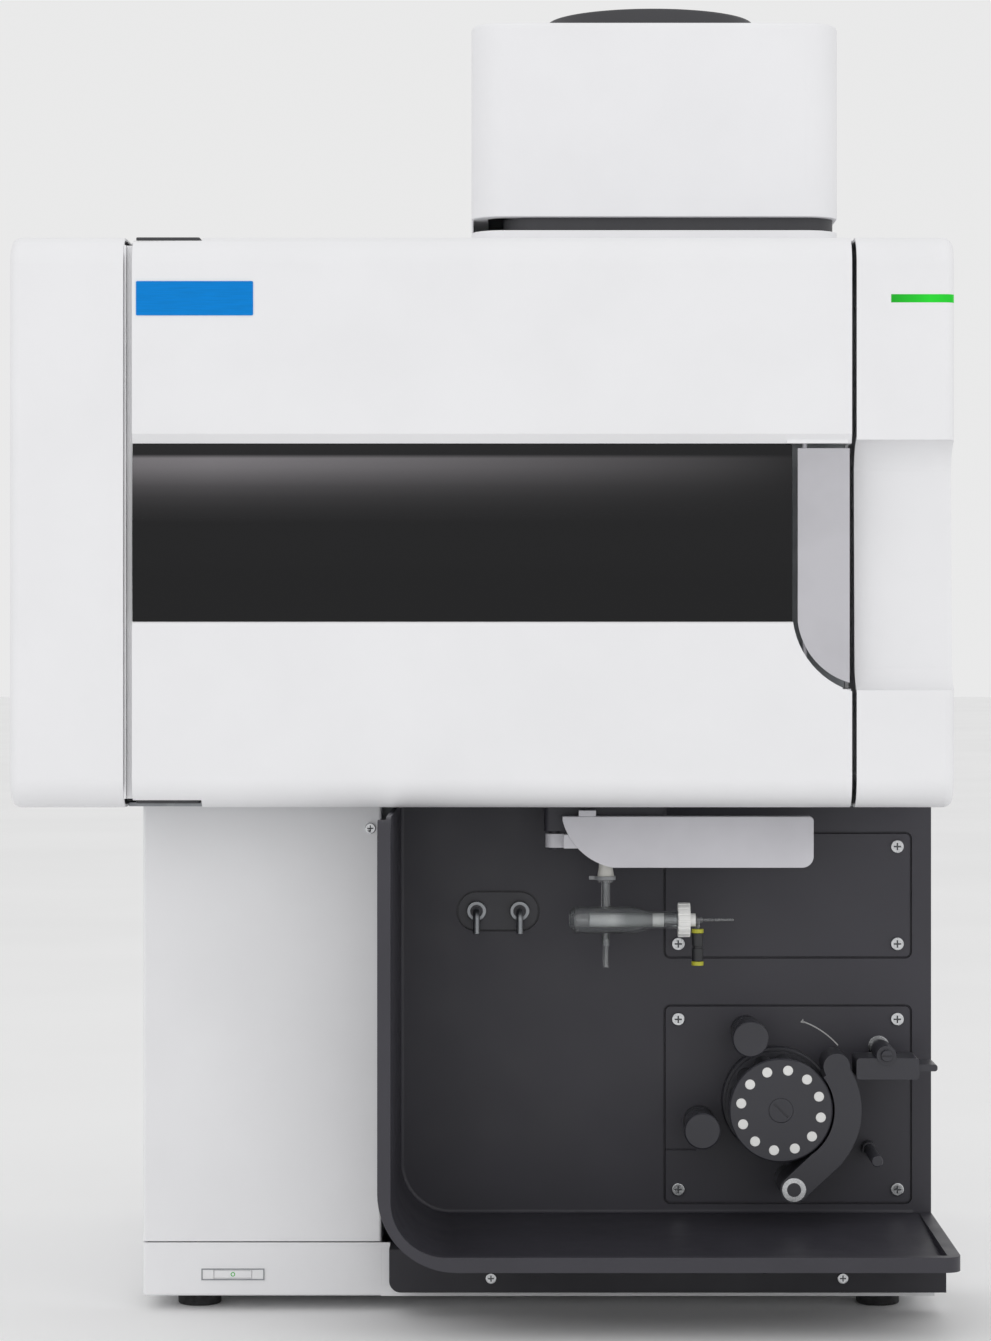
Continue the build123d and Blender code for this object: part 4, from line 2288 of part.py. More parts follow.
# Mains inlet: flanged socket with three pins, and the housing of the mains switch beside it
rocker_radius = switch_height / 2 - switch_wall - rocker_gap
rocker_y = cover_face + switch_flange - rocker_pivot_depth
rocker_half = switch_width / 2 - switch_wall - rocker_gap
with BuildPart() as mains_inlet:
    block(
        inlet_x - inlet_width / 2, inlet_x + inlet_width / 2,
        cover_face, cover_face + inlet_flange,
        inlet_z - inlet_height / 2, inlet_z + inlet_height / 2,
    )
    fillet(mains_inlet.edges().filter_by(Axis.Y), inlet_flange)
    block(
        inlet_x - inlet_well_width / 2 - sheet + fit, inlet_x + inlet_well_width / 2 + sheet - fit,
        cover_face - inlet_depth, cover_face,
        inlet_z - inlet_well_height / 2 - sheet + fit,
        inlet_z + inlet_well_height / 2 + sheet - fit,
    )
    block(
        inlet_x - inlet_well_width / 2, inlet_x + inlet_well_width / 2,
        cover_face + inlet_flange - inlet_well_depth, cover_face + inlet_flange + overrun,
        inlet_z - inlet_well_height / 2, inlet_z + inlet_well_height / 2, Mode.SUBTRACT,
    )
    for step, lift in ((-inlet_pin_step, 0), (0, inlet_pin_height), (inlet_pin_step, 0)):
        block(
            inlet_x + step - inlet_pin_width / 2, inlet_x + step + inlet_pin_width / 2,
            cover_face + inlet_flange - inlet_well_depth,
            cover_face + inlet_flange - inlet_well_depth + inlet_pin_length,
            inlet_z + lift - inlet_pin_height, inlet_z + lift,
        )
    block(
        switch_x - switch_width / 2 - switch_wall, switch_x + switch_width / 2 + switch_wall,
        cover_face, cover_face + switch_flange,
        switch_z - switch_height / 2 - switch_wall, switch_z + switch_height / 2 + switch_wall,
    )
    block(
        switch_x - switch_width / 2 + fit, switch_x + switch_width / 2 - fit,
        cover_face - switch_depth, cover_face,
        switch_z - switch_height / 2 + fit, switch_z + switch_height / 2 - fit,
    )
    block(
        switch_x - switch_width / 2 + switch_wall, switch_x + switch_width / 2 - switch_wall,
        rocker_y - rocker_radius, cover_face + switch_flange + overrun,
        switch_z - switch_height / 2 + switch_wall, switch_z + switch_height / 2 - switch_wall,
        Mode.SUBTRACT,
    )
    with BuildSketch(side_plane(switch_x - rocker_half - switch_wall / 2)):
        with Locations((rocker_y, switch_z)):
            Circle(rocker_pin_radius + bearing_gap)
    extrude(amount=2 * rocker_half + switch_wall, mode=Mode.SUBTRACT)
mains_inlet.part.label = "mains_inlet"
export_step(mains_inlet.part, "parts/mains_inlet.step")

# Mains rocker: dished key on a cross pin, lying tilted to one side
with BuildPart() as mains_rocker:
    with BuildSketch(Plane(
        origin=(switch_x - rocker_half, rocker_y, switch_z),
        x_dir=Vector(0, 1, 0).rotate(Axis.X, -rocker_tilt), z_dir=(1, 0, 0),
    )):
        Circle(rocker_radius)
        with BuildLine():
            Polyline(
                (-rocker_slab, -2 * rocker_radius), (rocker_rise, -2 * rocker_radius),
                (rocker_rise, -rocker_radius), (rocker_dip, 0), (rocker_rise, rocker_radius),
                (rocker_rise, 2 * rocker_radius), (-rocker_slab, 2 * rocker_radius), close=True,
            )
        make_face(mode=Mode.INTERSECT)
    extrude(amount=2 * rocker_half)
    with BuildSketch(side_plane(switch_x - rocker_half - switch_wall / 2 + rocker_gap)):
        with Locations((rocker_y, switch_z)):
            Circle(rocker_pin_radius)
    extrude(amount=2 * rocker_half + switch_wall - 2 * rocker_gap)
mains_rocker.part.label = "mains_rocker"
export_step(mains_rocker.part, "parts/mains_rocker.step")

# Gas and water fittings in the lower rear cover
with BuildPart() as rear_fittings:
    for x, z in gas_places + water_places:
        with BuildSketch(front_plane(cover_face)):
            with Locations((x, z)):
                RegularPolygon(gas_hex_radius, 6)
        extrude(amount=-gas_hex)
        rod_y(x, z, rear_cover_y - gas_hex, cover_face, gas_thread_radius)
    for x, z in gas_places:
        rod_y(x, z, cover_face + gas_hex, cover_face + gas_stem, gas_thread_radius)
    for x, z in water_places:
        rod_y(x, z, cover_face + gas_hex, cover_face + gas_stem, gas_thread_radius - bearing_gap)
        for index in range(water_barbs - 1):
            barb = cover_face + gas_hex + water_barb * (index + 0.5)
            rod_y(x, z, barb, barb + water_barb / 2, water_radius)
    for x, z in gas_places + water_places:
        rod_y(
            x, z, rear_cover_y - gas_hex - overrun, cover_face + gas_stem + overrun,
            gas_bore, Mode.SUBTRACT,
        )
rear_fittings.part.label = "rear_fittings"
export_step(rear_fittings.part, "parts/rear_fittings.step")
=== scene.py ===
import json
from math import cos, pi, radians, sin

import bpy
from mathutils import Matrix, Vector

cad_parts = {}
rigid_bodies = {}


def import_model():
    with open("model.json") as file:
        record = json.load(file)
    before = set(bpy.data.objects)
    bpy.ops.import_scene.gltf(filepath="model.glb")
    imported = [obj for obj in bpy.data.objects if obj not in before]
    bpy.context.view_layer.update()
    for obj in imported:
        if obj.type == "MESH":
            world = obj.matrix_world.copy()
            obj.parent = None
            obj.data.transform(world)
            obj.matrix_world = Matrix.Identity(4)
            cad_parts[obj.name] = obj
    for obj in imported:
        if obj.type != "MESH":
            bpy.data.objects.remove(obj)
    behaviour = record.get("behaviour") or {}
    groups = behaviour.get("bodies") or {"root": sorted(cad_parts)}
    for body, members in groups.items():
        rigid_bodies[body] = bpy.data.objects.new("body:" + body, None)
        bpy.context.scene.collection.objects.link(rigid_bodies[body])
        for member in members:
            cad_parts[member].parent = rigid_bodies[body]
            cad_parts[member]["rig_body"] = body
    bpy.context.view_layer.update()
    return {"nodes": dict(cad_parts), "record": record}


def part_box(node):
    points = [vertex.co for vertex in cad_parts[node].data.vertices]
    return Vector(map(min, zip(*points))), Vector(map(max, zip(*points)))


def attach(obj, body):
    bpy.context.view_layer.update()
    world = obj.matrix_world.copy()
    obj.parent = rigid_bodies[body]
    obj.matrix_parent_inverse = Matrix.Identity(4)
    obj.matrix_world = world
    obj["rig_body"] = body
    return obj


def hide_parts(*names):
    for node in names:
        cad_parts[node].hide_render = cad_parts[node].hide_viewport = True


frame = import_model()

bl_info = {
    "name": "Plasma spectrometer looks",
    "version": (1, 0, 0),
    "blender": (4, 5, 0),
    "location": "View3D > Sidebar > Spectrometer",
    "description": "Finishes the pieces of a bench-top plasma spectrometer and sets up its stage",
    "category": "Object",
}

NODES = frame["nodes"]
SLOTS = {s["node"]: s["material_slot"] for s in frame["record"]["subparts"]}
MM = 0.001


# Sizes and colours that a user would change

def linear(code):
    """Colour of an sRGB hex code as the shader wants it, without alpha."""
    channels = [int(code[i:i + 2], 16) / 255 for i in (1, 3, 5)]
    return tuple(c / 12.92 if c <= 0.04045 else ((c + 0.055) / 1.055) ** 2.4 for c in channels)


def colour_setting(name, description, code):
    """Colour property with its default as a hex code."""
    return bpy.props.FloatVectorProperty(
        name=name, description=description, subtype="COLOR", size=3,
        min=0.0, max=1.0, default=linear(code),
    )


def length_setting(name, description, millimetres):
    """Length property with its default in millimetres."""
    return bpy.props.FloatProperty(
        name=name, description=description, unit="LENGTH", min=0.0,
        default=millimetres * MM, precision=5,
    )


class SpectrometerColours(bpy.types.PropertyGroup):
    """Colours of the finishes."""

    moulding: colour_setting("Moulded panels", "Caps, door and top cover", "#EBEBED")
    sheet_paint: colour_setting("White paint", "Lower cabinet and chimney", "#EDEDEF")
    window_tint: colour_setting("Window tint", "Smoked door window", "#0E0E10")
    # Colour of the painted reflection on the window, a paler band in the tinted acrylic's colour
    window_painted_reflection: colour_setting("Window glow", "Lighter band of the window", "#787578")
    grip: colour_setting("Grip grey", "Door grip and torch handle", "#B9B8BD")
    badge: colour_setting("Badge blue", "Bare badge plate", "#0080D2")
    lamp: colour_setting("Status light", "Light guide in the right cap", "#23C92F")
    liner: colour_setting("Liner grey", "Sample compartment and tray", "#36353C")
    tray_paint: colour_setting("Tray box", "Box under the tray", "#27262C")
    pump: colour_setting("Pump black", "Plates, arm and rotor", "#34343A")
    chimney_ring: colour_setting("Chimney ring", "Flue outlet and pedestal", "#404043")
    clip: colour_setting("Joint clip", "Clip of the ball joint", "#8F9194")
    connector: colour_setting("Gas connector", "Flanges of the gas connector", "#B4B333")


class SpectrometerSizes(bpy.types.PropertyGroup):
    """Sizes of the details that the finishing adds."""

    moulded_edge: length_setting("Moulded edge", "Rounding of moulded panels' edges", 0.9)
    sheet_edge: length_setting("Sheet edge", "Rounding of folded sheet's edges", 0.35)
    machined_edge: length_setting("Machined edge", "Rounding of small machined edges", 0.25)
    gasket_width: length_setting("Gasket width", "Width of the door's seal", 7.0)
    gasket_height: length_setting("Gasket height", "Height of the door's seal", 5.0)
    rivet_radius: length_setting("Rivet radius", "Domed rivets of the tray box", 2.4)
    cover_screw_radius: length_setting("Cover screw radius", "Screws of the rear covers", 4.0)
    arrow_width: length_setting("Arrow width", "Line of the printed direction arrow", 1.1)


def sizes():
    """The size settings."""
    return bpy.context.scene.spectrometer_sizes


def tint(name, share=1.0):
    """A colour setting made lighter or darker by a share, with alpha."""
    colour = getattr(bpy.context.scene.spectrometer_colours, name)
    return tuple(min(c * share, 1.0) for c in colour) + (1.0,)


def solid(code):
    """Hex code as a colour with alpha."""
    return linear(code) + (1.0,)


# Mesh helpers

MERGE_REACH = 0.002 * MM
FLAT_ANGLE = radians(0.4)
EDGE_ANGLE = radians(32)
SMOOTH_ANGLE = radians(38)


def select_only(piece):
    """Makes one object the selected and active one."""
    if bpy.context.object and bpy.context.object.mode != "OBJECT":
        bpy.ops.object.mode_set(mode="OBJECT")
    bpy.ops.object.select_all(action="DESELECT")
    piece.select_set(True)
    bpy.context.view_layer.objects.active = piece


def settle(piece):
    """Moves the object's place, turn and size into its mesh."""
    select_only(piece)
    bpy.ops.object.transform_apply(location=True, rotation=True, scale=True)


def apply_modifiers(piece):
    """Applies every modifier in order."""
    select_only(piece)
    for modifier in list(piece.modifiers):
        bpy.ops.object.modifier_apply(modifier=modifier.name)


def bevel(piece, width, segments=2):
    """Rounds the sharp edges."""
    rounding = piece.modifiers.new("edges", "BEVEL")
    rounding.width = width
    rounding.segments = segments
    rounding.limit_method = "ANGLE"
    rounding.angle_limit = EDGE_ANGLE
    rounding.use_clamp_overlap = True
    apply_modifiers(piece)


def smooth(piece):
    """Smooth shading, broken at sharper edges, in which large flat faces stay flat."""
    select_only(piece)
    bpy.ops.object.shade_smooth_by_angle(angle=SMOOTH_ANGLE)
    weighting = piece.modifiers.new("weighting", "WEIGHTED_NORMAL")
    weighting.keep_sharp = True
    apply_modifiers(piece)


def merged_copy(node, name):
    """A copy of a construction node with its loose triangles joined into whole faces."""
    piece = bpy.data.objects.new(name, NODES[node].data.copy())
    bpy.context.scene.collection.objects.link(piece)
    piece.data.materials.clear()
    select_only(piece)
    bpy.ops.object.mode_set(mode="EDIT")
    bpy.ops.mesh.select_all(action="SELECT")
    bpy.ops.mesh.remove_doubles(threshold=MERGE_REACH)
    bpy.ops.mesh.dissolve_limited(angle_limit=FLAT_ANGLE)
    bpy.ops.object.mode_set(mode="OBJECT")
    return piece


def dress(node, edge, finish=None):
    """Gives one construction node its rounded edges and its finish."""
    piece = merged_copy(node, node + "_finished")
    if edge:
        bevel(piece, edge)
    smooth(piece)
    piece.data.materials.append(finish or finish_of(SLOTS[node]))
    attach(piece, NODES[node]["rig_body"])
    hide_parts(node)
    return piece


def dress_all(nodes, edge):
    """Dresses several nodes alike."""
    for node in nodes:
        dress(node, edge)


def second_finish(piece, finish, belongs):
    """Gives another finish to the faces whose middle passes a test."""
    piece.data.materials.append(finish)
    for face in piece.data.polygons:
        if belongs(face.center):
            face.material_index = len(piece.data.materials) - 1


def loose_boxes(node):
    """Lowest and highest corners of each separate solid of a construction node."""
    piece = merged_copy(node, "counted")
    before = set(bpy.data.objects)
    bpy.ops.object.mode_set(mode="EDIT")
    bpy.ops.mesh.select_all(action="SELECT")
    bpy.ops.mesh.separate(type="LOOSE")
    bpy.ops.object.mode_set(mode="OBJECT")
    parts = [piece] + [entry for entry in bpy.data.objects if entry not in before]
    boxes = []
    for part in parts:
        corners = [vertex.co for vertex in part.data.vertices]
        boxes.append((
            Vector([min(c[i] for c in corners) for i in range(3)]),
            Vector([max(c[i] for c in corners) for i in range(3)]),
        ))
        bpy.data.objects.remove(part)
    return boxes


def own_piece(piece, name, body, slot, finish=None):
    """Names a new piece, gives it its finish and puts it on its body."""
    settle(piece)
    piece.name = name
    piece.data.materials.clear()
    piece.data.materials.append(finish or finish_of(slot))
    smooth(piece)
    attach(piece, body)


def join(pieces):
    """Joins several meshes into the first."""
    select_only(pieces[0])
    for piece in pieces[1:]:
        piece.select_set(True)
    bpy.ops.object.join()
    return pieces[0]


def repeated(first, shifts):
    """One mesh of a piece and its copies, each shifted from it."""
    pieces = [first]
    for shift in shifts:
        other = first.copy()
        other.data = first.data.copy()
        other.location = shift
        bpy.context.scene.collection.objects.link(other)
        settle(other)
        pieces.append(other)
    return join(pieces)


# Shader helpers

# Share of the noise's range over which a colour and a roughness change, and how fine it is
PAINT_LOW = 0.35
PAINT_HIGH = 0.65
PAINT_DETAIL = 3.0
GLOSS_LOW = 0.3
GLOSS_HIGH = 0.7
GLOSS_DETAIL = 4.0


def add_node(tree, kind, settings=None, values=None, links=None):
    """Adds a shader node with its settings, its values and the links to its inputs."""
    node = tree.nodes.new(kind)
    for name, value in (settings or {}).items():
        setattr(node, name, value)
    for socket, value in (values or {}).items():
        node.inputs[socket].default_value = value
    for socket, source in (links or {}).items():
        tree.links.new(source, node.inputs[socket])
    return node


def start_material(name, values):
    """A new material with its shader; returns the material, its tree, shader and coordinates."""
    material = bpy.data.materials.new(name)
    material.use_nodes = True
    tree = material.node_tree
    shader = tree.nodes["Principled BSDF"]
    for socket, value in values.items():
        shader.inputs[socket].default_value = value
    place = add_node(tree, "ShaderNodeTexCoord").outputs["Object"]
    return material, tree, shader, place


def per_metre(size_mm):
    """Noise scale whose features are about this many millimetres."""
    return 1 / (size_mm * MM)


def ramp(tree, factor, stops):
    """Colour ramp with (place, colour) stops."""
    node = add_node(tree, "ShaderNodeValToRGB", links={"Fac": factor})
    elements = node.color_ramp.elements
    elements[0].position, elements[0].color = stops[0]
    elements[1].position, elements[1].color = stops[-1]
    for position, colour in stops[1:-1]:
        elements.new(position).color = colour
    return node.outputs["Color"]


def noise(tree, place, size_mm, detail):
    """Noise whose features have a real size."""
    return add_node(
        tree, "ShaderNodeTexNoise", values={"Scale": per_metre(size_mm), "Detail": detail},
        links={"Vector": place},
    ).outputs["Fac"]


def paint(tree, shader, place, size_mm, low, high):
    """Base colour that drifts softly between two near tones."""
    colour = ramp(tree, noise(tree, place, size_mm, PAINT_DETAIL), (
        (PAINT_LOW, low), (PAINT_HIGH, high),
    ))
    tree.links.new(colour, shader.inputs["Base Color"])


def grain(tree, shader, place, size_mm, height_mm, strength, detail=2.0):
    """Fine surface relief of a real size and depth."""
    bump = add_node(
        tree, "ShaderNodeBump", values={"Strength": strength, "Distance": height_mm * MM},
        links={"Height": noise(tree, place, size_mm, detail)},
    )
    tree.links.new(bump.outputs["Normal"], shader.inputs["Normal"])


def gloss(tree, shader, place, size_mm, low, high):
    """Roughness that drifts over the surface, as handling and cleaning leave it."""
    spread = add_node(
        tree, "ShaderNodeMapRange",
        values={"From Min": GLOSS_LOW, "From Max": GLOSS_HIGH, "To Min": low, "To Max": high},
        links={"Value": noise(tree, place, size_mm, GLOSS_DETAIL)},
    )
    tree.links.new(spread.outputs["Result"], shader.inputs["Roughness"])


def stretched(tree, place, share):
    """Coordinates scaled along each axis, so that a pattern runs along the smallest share."""
    return add_node(
        tree, "ShaderNodeMapping", values={"Scale": share}, links={"Vector": place},
    ).outputs["Vector"]


def level_in(tree, place, node, axis):
    """Place along one axis of a construction node, from 0 at its low end to 1 at its high end."""
    parts = add_node(tree, "ShaderNodeSeparateXYZ", links={"Vector": place})
    low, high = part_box(node)
    index = "XYZ".index(axis)
    return add_node(
        tree, "ShaderNodeMapRange", values={"From Min": low[index], "From Max": high[index]},
        links={"Value": parts.outputs[axis]},
    ).outputs["Result"]


def grey(share):
    """Neutral tone with alpha."""
    return (share, share, share, 1.0)


# Finishes

def satin_moulding():
    """Painted structural foam moulding: soft sheen and a barely felt orange peel."""
    material, tree, shader, place = start_material("satin_white_moulding", {"IOR": 1.49})
    paint(
        tree, shader, place, size_mm=90, low=tint("moulding", 0.985), high=tint("moulding", 1.01),
    )
    gloss(tree, shader, place, size_mm=60, low=0.36, high=0.44)
    grain(tree, shader, place, size_mm=1.2, height_mm=0.05, strength=0.25)
    return material


def powder_coat(name, setting, peel_mm=1.6):
    """Powder coat on sheet steel: matt and evenly dimpled, so highlights break up softly."""
    material, tree, shader, place = start_material(name, {"IOR": 1.5})
    paint(tree, shader, place, size_mm=120, low=tint(setting, 0.975), high=tint(setting, 1.01))
    gloss(tree, shader, place, size_mm=45, low=0.48, high=0.58)
    grain(tree, shader, place, size_mm=peel_mm, height_mm=0.12, strength=0.35, detail=3.0)
    return material


def smoked_acrylic():
    """Polished tinted acrylic: almost black and deep, with sharp weak reflections. Its colour
    carries a
    painted reflection of the studio light: a paler band below the upper rim, which fades downwards
    and to the right."""
    material, tree, shader, place = start_material(
        "smoked_acrylic", {"IOR": 1.49, "Specular IOR Level": 0.28},
    )
    # Painted reflection: strongest in a band below the upper rim, fading downwards
    falling = ramp(tree, level_in(tree, place, "door_window", "Z"), (
        (0.55, grey(0.0)), (0.625, grey(0.06)), (0.68, grey(0.14)), (0.737, grey(0.30)),
        (0.793, grey(0.60)), (0.837, grey(0.86)), (0.883, grey(1.0)), (0.903, grey(0.02)),
        (1.0, grey(0.05)),
    ))
    fading = ramp(tree, level_in(tree, place, "door_window", "X"), (
        (0.0, grey(0.93)), (0.12, grey(1.0)), (0.50, grey(0.62)), (0.85, grey(0.25)),
        (1.0, grey(0.05)),
    ))
    # Strength of the painted reflection over the window, also fading towards the right
    glow = add_node(
        tree, "ShaderNodeMath", {"operation": "MULTIPLY"}, links={0: falling, 1: fading},
    )
    tone = add_node(
        tree, "ShaderNodeMix", {"data_type": "RGBA"},
        {6: tint("window_tint"), 7: tint("window_painted_reflection")}, {0: glow.outputs[0]},
    )
    tree.links.new(tone.outputs[2], shader.inputs["Base Color"])
    gloss(tree, shader, place, size_mm=80, low=0.07, high=0.12)
    grain(tree, shader, place, size_mm=45, height_mm=0.03, strength=0.05)
    return material


def grained_plastic(name, low, high, grain_mm=0.9, rough=(0.40, 0.50)):
    """Injection-moulded plastic with a spark-eroded grain that takes the edge off highlights."""
    material, tree, shader, place = start_material(name, {"IOR": 1.5})
    paint(tree, shader, place, size_mm=70, low=low, high=high)
    gloss(tree, shader, place, size_mm=35, low=rough[0], high=rough[1])
    grain(tree, shader, place, size_mm=grain_mm, height_mm=0.06, strength=0.4, detail=3.0)
    return material


def anodised_badge():
    """Dyed anodised aluminium sheet: fine brushed lines along its length under the colour."""
    material, tree, shader, place = start_material(
        "blue_anodised_sheet", {"Metallic": 0.0, "Specular IOR Level": 0.12},
    )
    lines = stretched(tree, place, (0.04, 1.0, 1.0))
    paint(tree, shader, lines, size_mm=0.8, low=tint("badge", 0.93), high=tint("badge", 1.05))
    gloss(tree, shader, place, size_mm=12, low=0.30, high=0.38)
    return material


def light_guide():
    """Milky acrylic light guide, lit from inside: brightest past its middle, dim at both ends."""
    material, tree, shader, place = start_material(
        "green_light_guide",
        {"IOR": 1.49, "Roughness": 0.25, "Specular IOR Level": 0.2, "Emission Strength": 0.78},
    )
    colour = ramp(tree, level_in(tree, place, "status_light_bar", "X"), (
        (0.0, tint("lamp", 0.50)), (0.35, tint("lamp", 0.85)), (0.62, tint("lamp", 1.15)),
        (0.85, tint("lamp", 0.95)), (1.0, tint("lamp", 0.85)),
    ))
    tree.links.new(colour, shader.inputs["Emission Color"])
    paint(tree, shader, place, size_mm=14, low=tint("lamp", 0.28), high=tint("lamp", 0.34))
    return material


# Share of the gas connector's height that each flange takes, and half the change of colour
FLANGE_SHARE = 0.11
FLANGE_BLUR = 0.005


def two_tone_nylon():
    """Moulded nylon in two shots: dark body between two bright yellow-green flanges."""
    material, tree, shader, place = start_material("two_tone_nylon", {"IOR": 1.53})
    along = level_in(tree, place, "gas_connector", "Z")
    shell = ramp(tree, along, (
        (FLANGE_SHARE - FLANGE_BLUR, tint("connector")),
        (FLANGE_SHARE + FLANGE_BLUR, solid("#26272A")),
        (1 - FLANGE_SHARE - FLANGE_BLUR, solid("#2B2C2E")),
        (1 - FLANGE_SHARE + FLANGE_BLUR, tint("connector")),
    ))
    tree.links.new(shell, shader.inputs["Base Color"])
    gloss(tree, shader, place, size_mm=35, low=0.38, high=0.48)
    grain(tree, shader, place, size_mm=0.8, height_mm=0.06, strength=0.4, detail=3.0)
    return material


def worked_metal(name, low, high, rough, grain_mm=0.6):
    """Bare or plated metal, drawn or turned: its fine grain breaks up the glints."""
    material, tree, shader, place = start_material(name, {"Metallic": 1.0})
    paint(tree, shader, place, size_mm=grain_mm, low=solid(low), high=solid(high))
    gloss(tree, shader, place, size_mm=4 * grain_mm, low=rough[0], high=rough[1])
    grain(tree, shader, place, size_mm=grain_mm, height_mm=0.02, strength=0.3)
    return material


def zinc_plate():
    """Zinc-plated sheet: grey, with a large soft spangle that shifts in brightness."""
    material, tree, shader, place = start_material("zinc_plated_sheet", {"Metallic": 1.0})
    cells = add_node(
        tree, "ShaderNodeTexVoronoi", values={"Scale": per_metre(14)}, links={"Vector": place},
    )
    tone = ramp(tree, cells.outputs["Color"], ((0.0, solid("#96999D")), (1.0, solid("#A2A5A8"))))
    tree.links.new(tone, shader.inputs["Base Color"])
    gloss(tree, shader, place, size_mm=20, low=0.34, high=0.46)
    return material


def cast_metal():
    """Machined aluminium casting: pale, with a fine pitted skin."""
    material, tree, shader, place = start_material("cast_aluminium", {"Metallic": 1.0})
    paint(tree, shader, place, size_mm=4, low=solid("#A9ACAF"), high=solid("#BCBFC2"))
    gloss(tree, shader, place, size_mm=8, low=0.42, high=0.55)
    grain(tree, shader, place, size_mm=1.5, height_mm=0.15, strength=0.5, detail=4.0)
    return material


def quartz_glass():
    """Fused quartz: water clear, with faint drawn waviness in the tube wall."""
    material, tree, shader, place = start_material(
        "fused_quartz", {"IOR": 1.46, "Transmission Weight": 0.95, "Roughness": 0.02},
    )
    paint(tree, shader, place, size_mm=20, low=solid("#EEF1F2"), high=solid("#F8FAFA"))
    grain(tree, shader, place, size_mm=9, height_mm=0.03, strength=0.15)
    return material


def frosted_quartz():
    """Ground quartz of the inner tube: milky, so it catches light inside the clear chamber. Part
    of its brightness is a painted highlight, lightest a little left of its middle, and it is
    darker towards the right.
    """
    material, tree, shader, place = start_material(
        "frosted_quartz", {"IOR": 1.46, "Transmission Weight": 0.30, "Roughness": 0.40},
    )
    # Painted highlight along the tube: lightest a little left of its middle, darker towards the
    # right end
    tone = ramp(tree, level_in(tree, place, "spray_chamber", "X"), (
        (0.18, solid("#E8EAEB")), (0.40, solid("#FAFBFB")), (0.52, solid("#A9ACAE")),
        (0.75, solid("#8E9193")),
    ))
    tree.links.new(tone, shader.inputs["Base Color"])
    grain(tree, shader, place, size_mm=0.6, height_mm=0.05, strength=0.4)
    return material


def solder_mask():
    """Circuit board: glossy green mask with fine lighter tracks between its parts."""
    material, tree, shader, place = start_material("green_solder_mask", {"Roughness": 0.3})
    flat = add_node(
        tree, "ShaderNodeMapping", values={"Rotation": (pi / 2, 0, 0)}, links={"Vector": place},
    )
    tracks = add_node(
        tree, "ShaderNodeTexBrick",
        values={
            "Scale": per_metre(16), "Color1": solid("#1E5B35"), "Color2": solid("#236A3E"),
            "Mortar": solid("#5E9A5A"), "Mortar Size": 0.03,
        },
        links={"Vector": flat.outputs["Vector"]},
    )
    tree.links.new(tracks.outputs["Color"], shader.inputs["Base Color"])
    return material


def nitrile_rubber():
    """Rubber foot and seal: matt black with a dusty grey bloom."""
    material, tree, shader, place = start_material("nitrile_rubber", {"IOR": 1.52})
    paint(tree, shader, place, size_mm=5, low=solid("#1B1B1C"), high=solid("#2B2B2C"))
    gloss(tree, shader, place, size_mm=9, low=0.70, high=0.85)
    grain(tree, shader, place, size_mm=0.8, height_mm=0.1, strength=0.4, detail=3.0)
    return material


# Share of the ink's colour where it lies thin
INK_THIN = 0.85


def printed_ink(name, code):
    """Screen-printed ink: thin and slightly rough, with small uneven spots over the grain."""
    material, tree, shader, place = start_material(name, {"IOR": 1.5})
    thin = tuple(c * INK_THIN for c in linear(code)) + (1.0,)
    paint(tree, shader, place, size_mm=1.2, low=solid(code), high=thin)
    gloss(tree, shader, place, size_mm=3, low=0.45, high=0.6)
    return material


def tinted_plastic(name, setting, grain_mm=0.9, rough=(0.40, 0.50)):
    """Grained plastic in one of the colour settings."""
    return grained_plastic(name, tint(setting, 0.93), tint(setting, 1.06), grain_mm, rough)


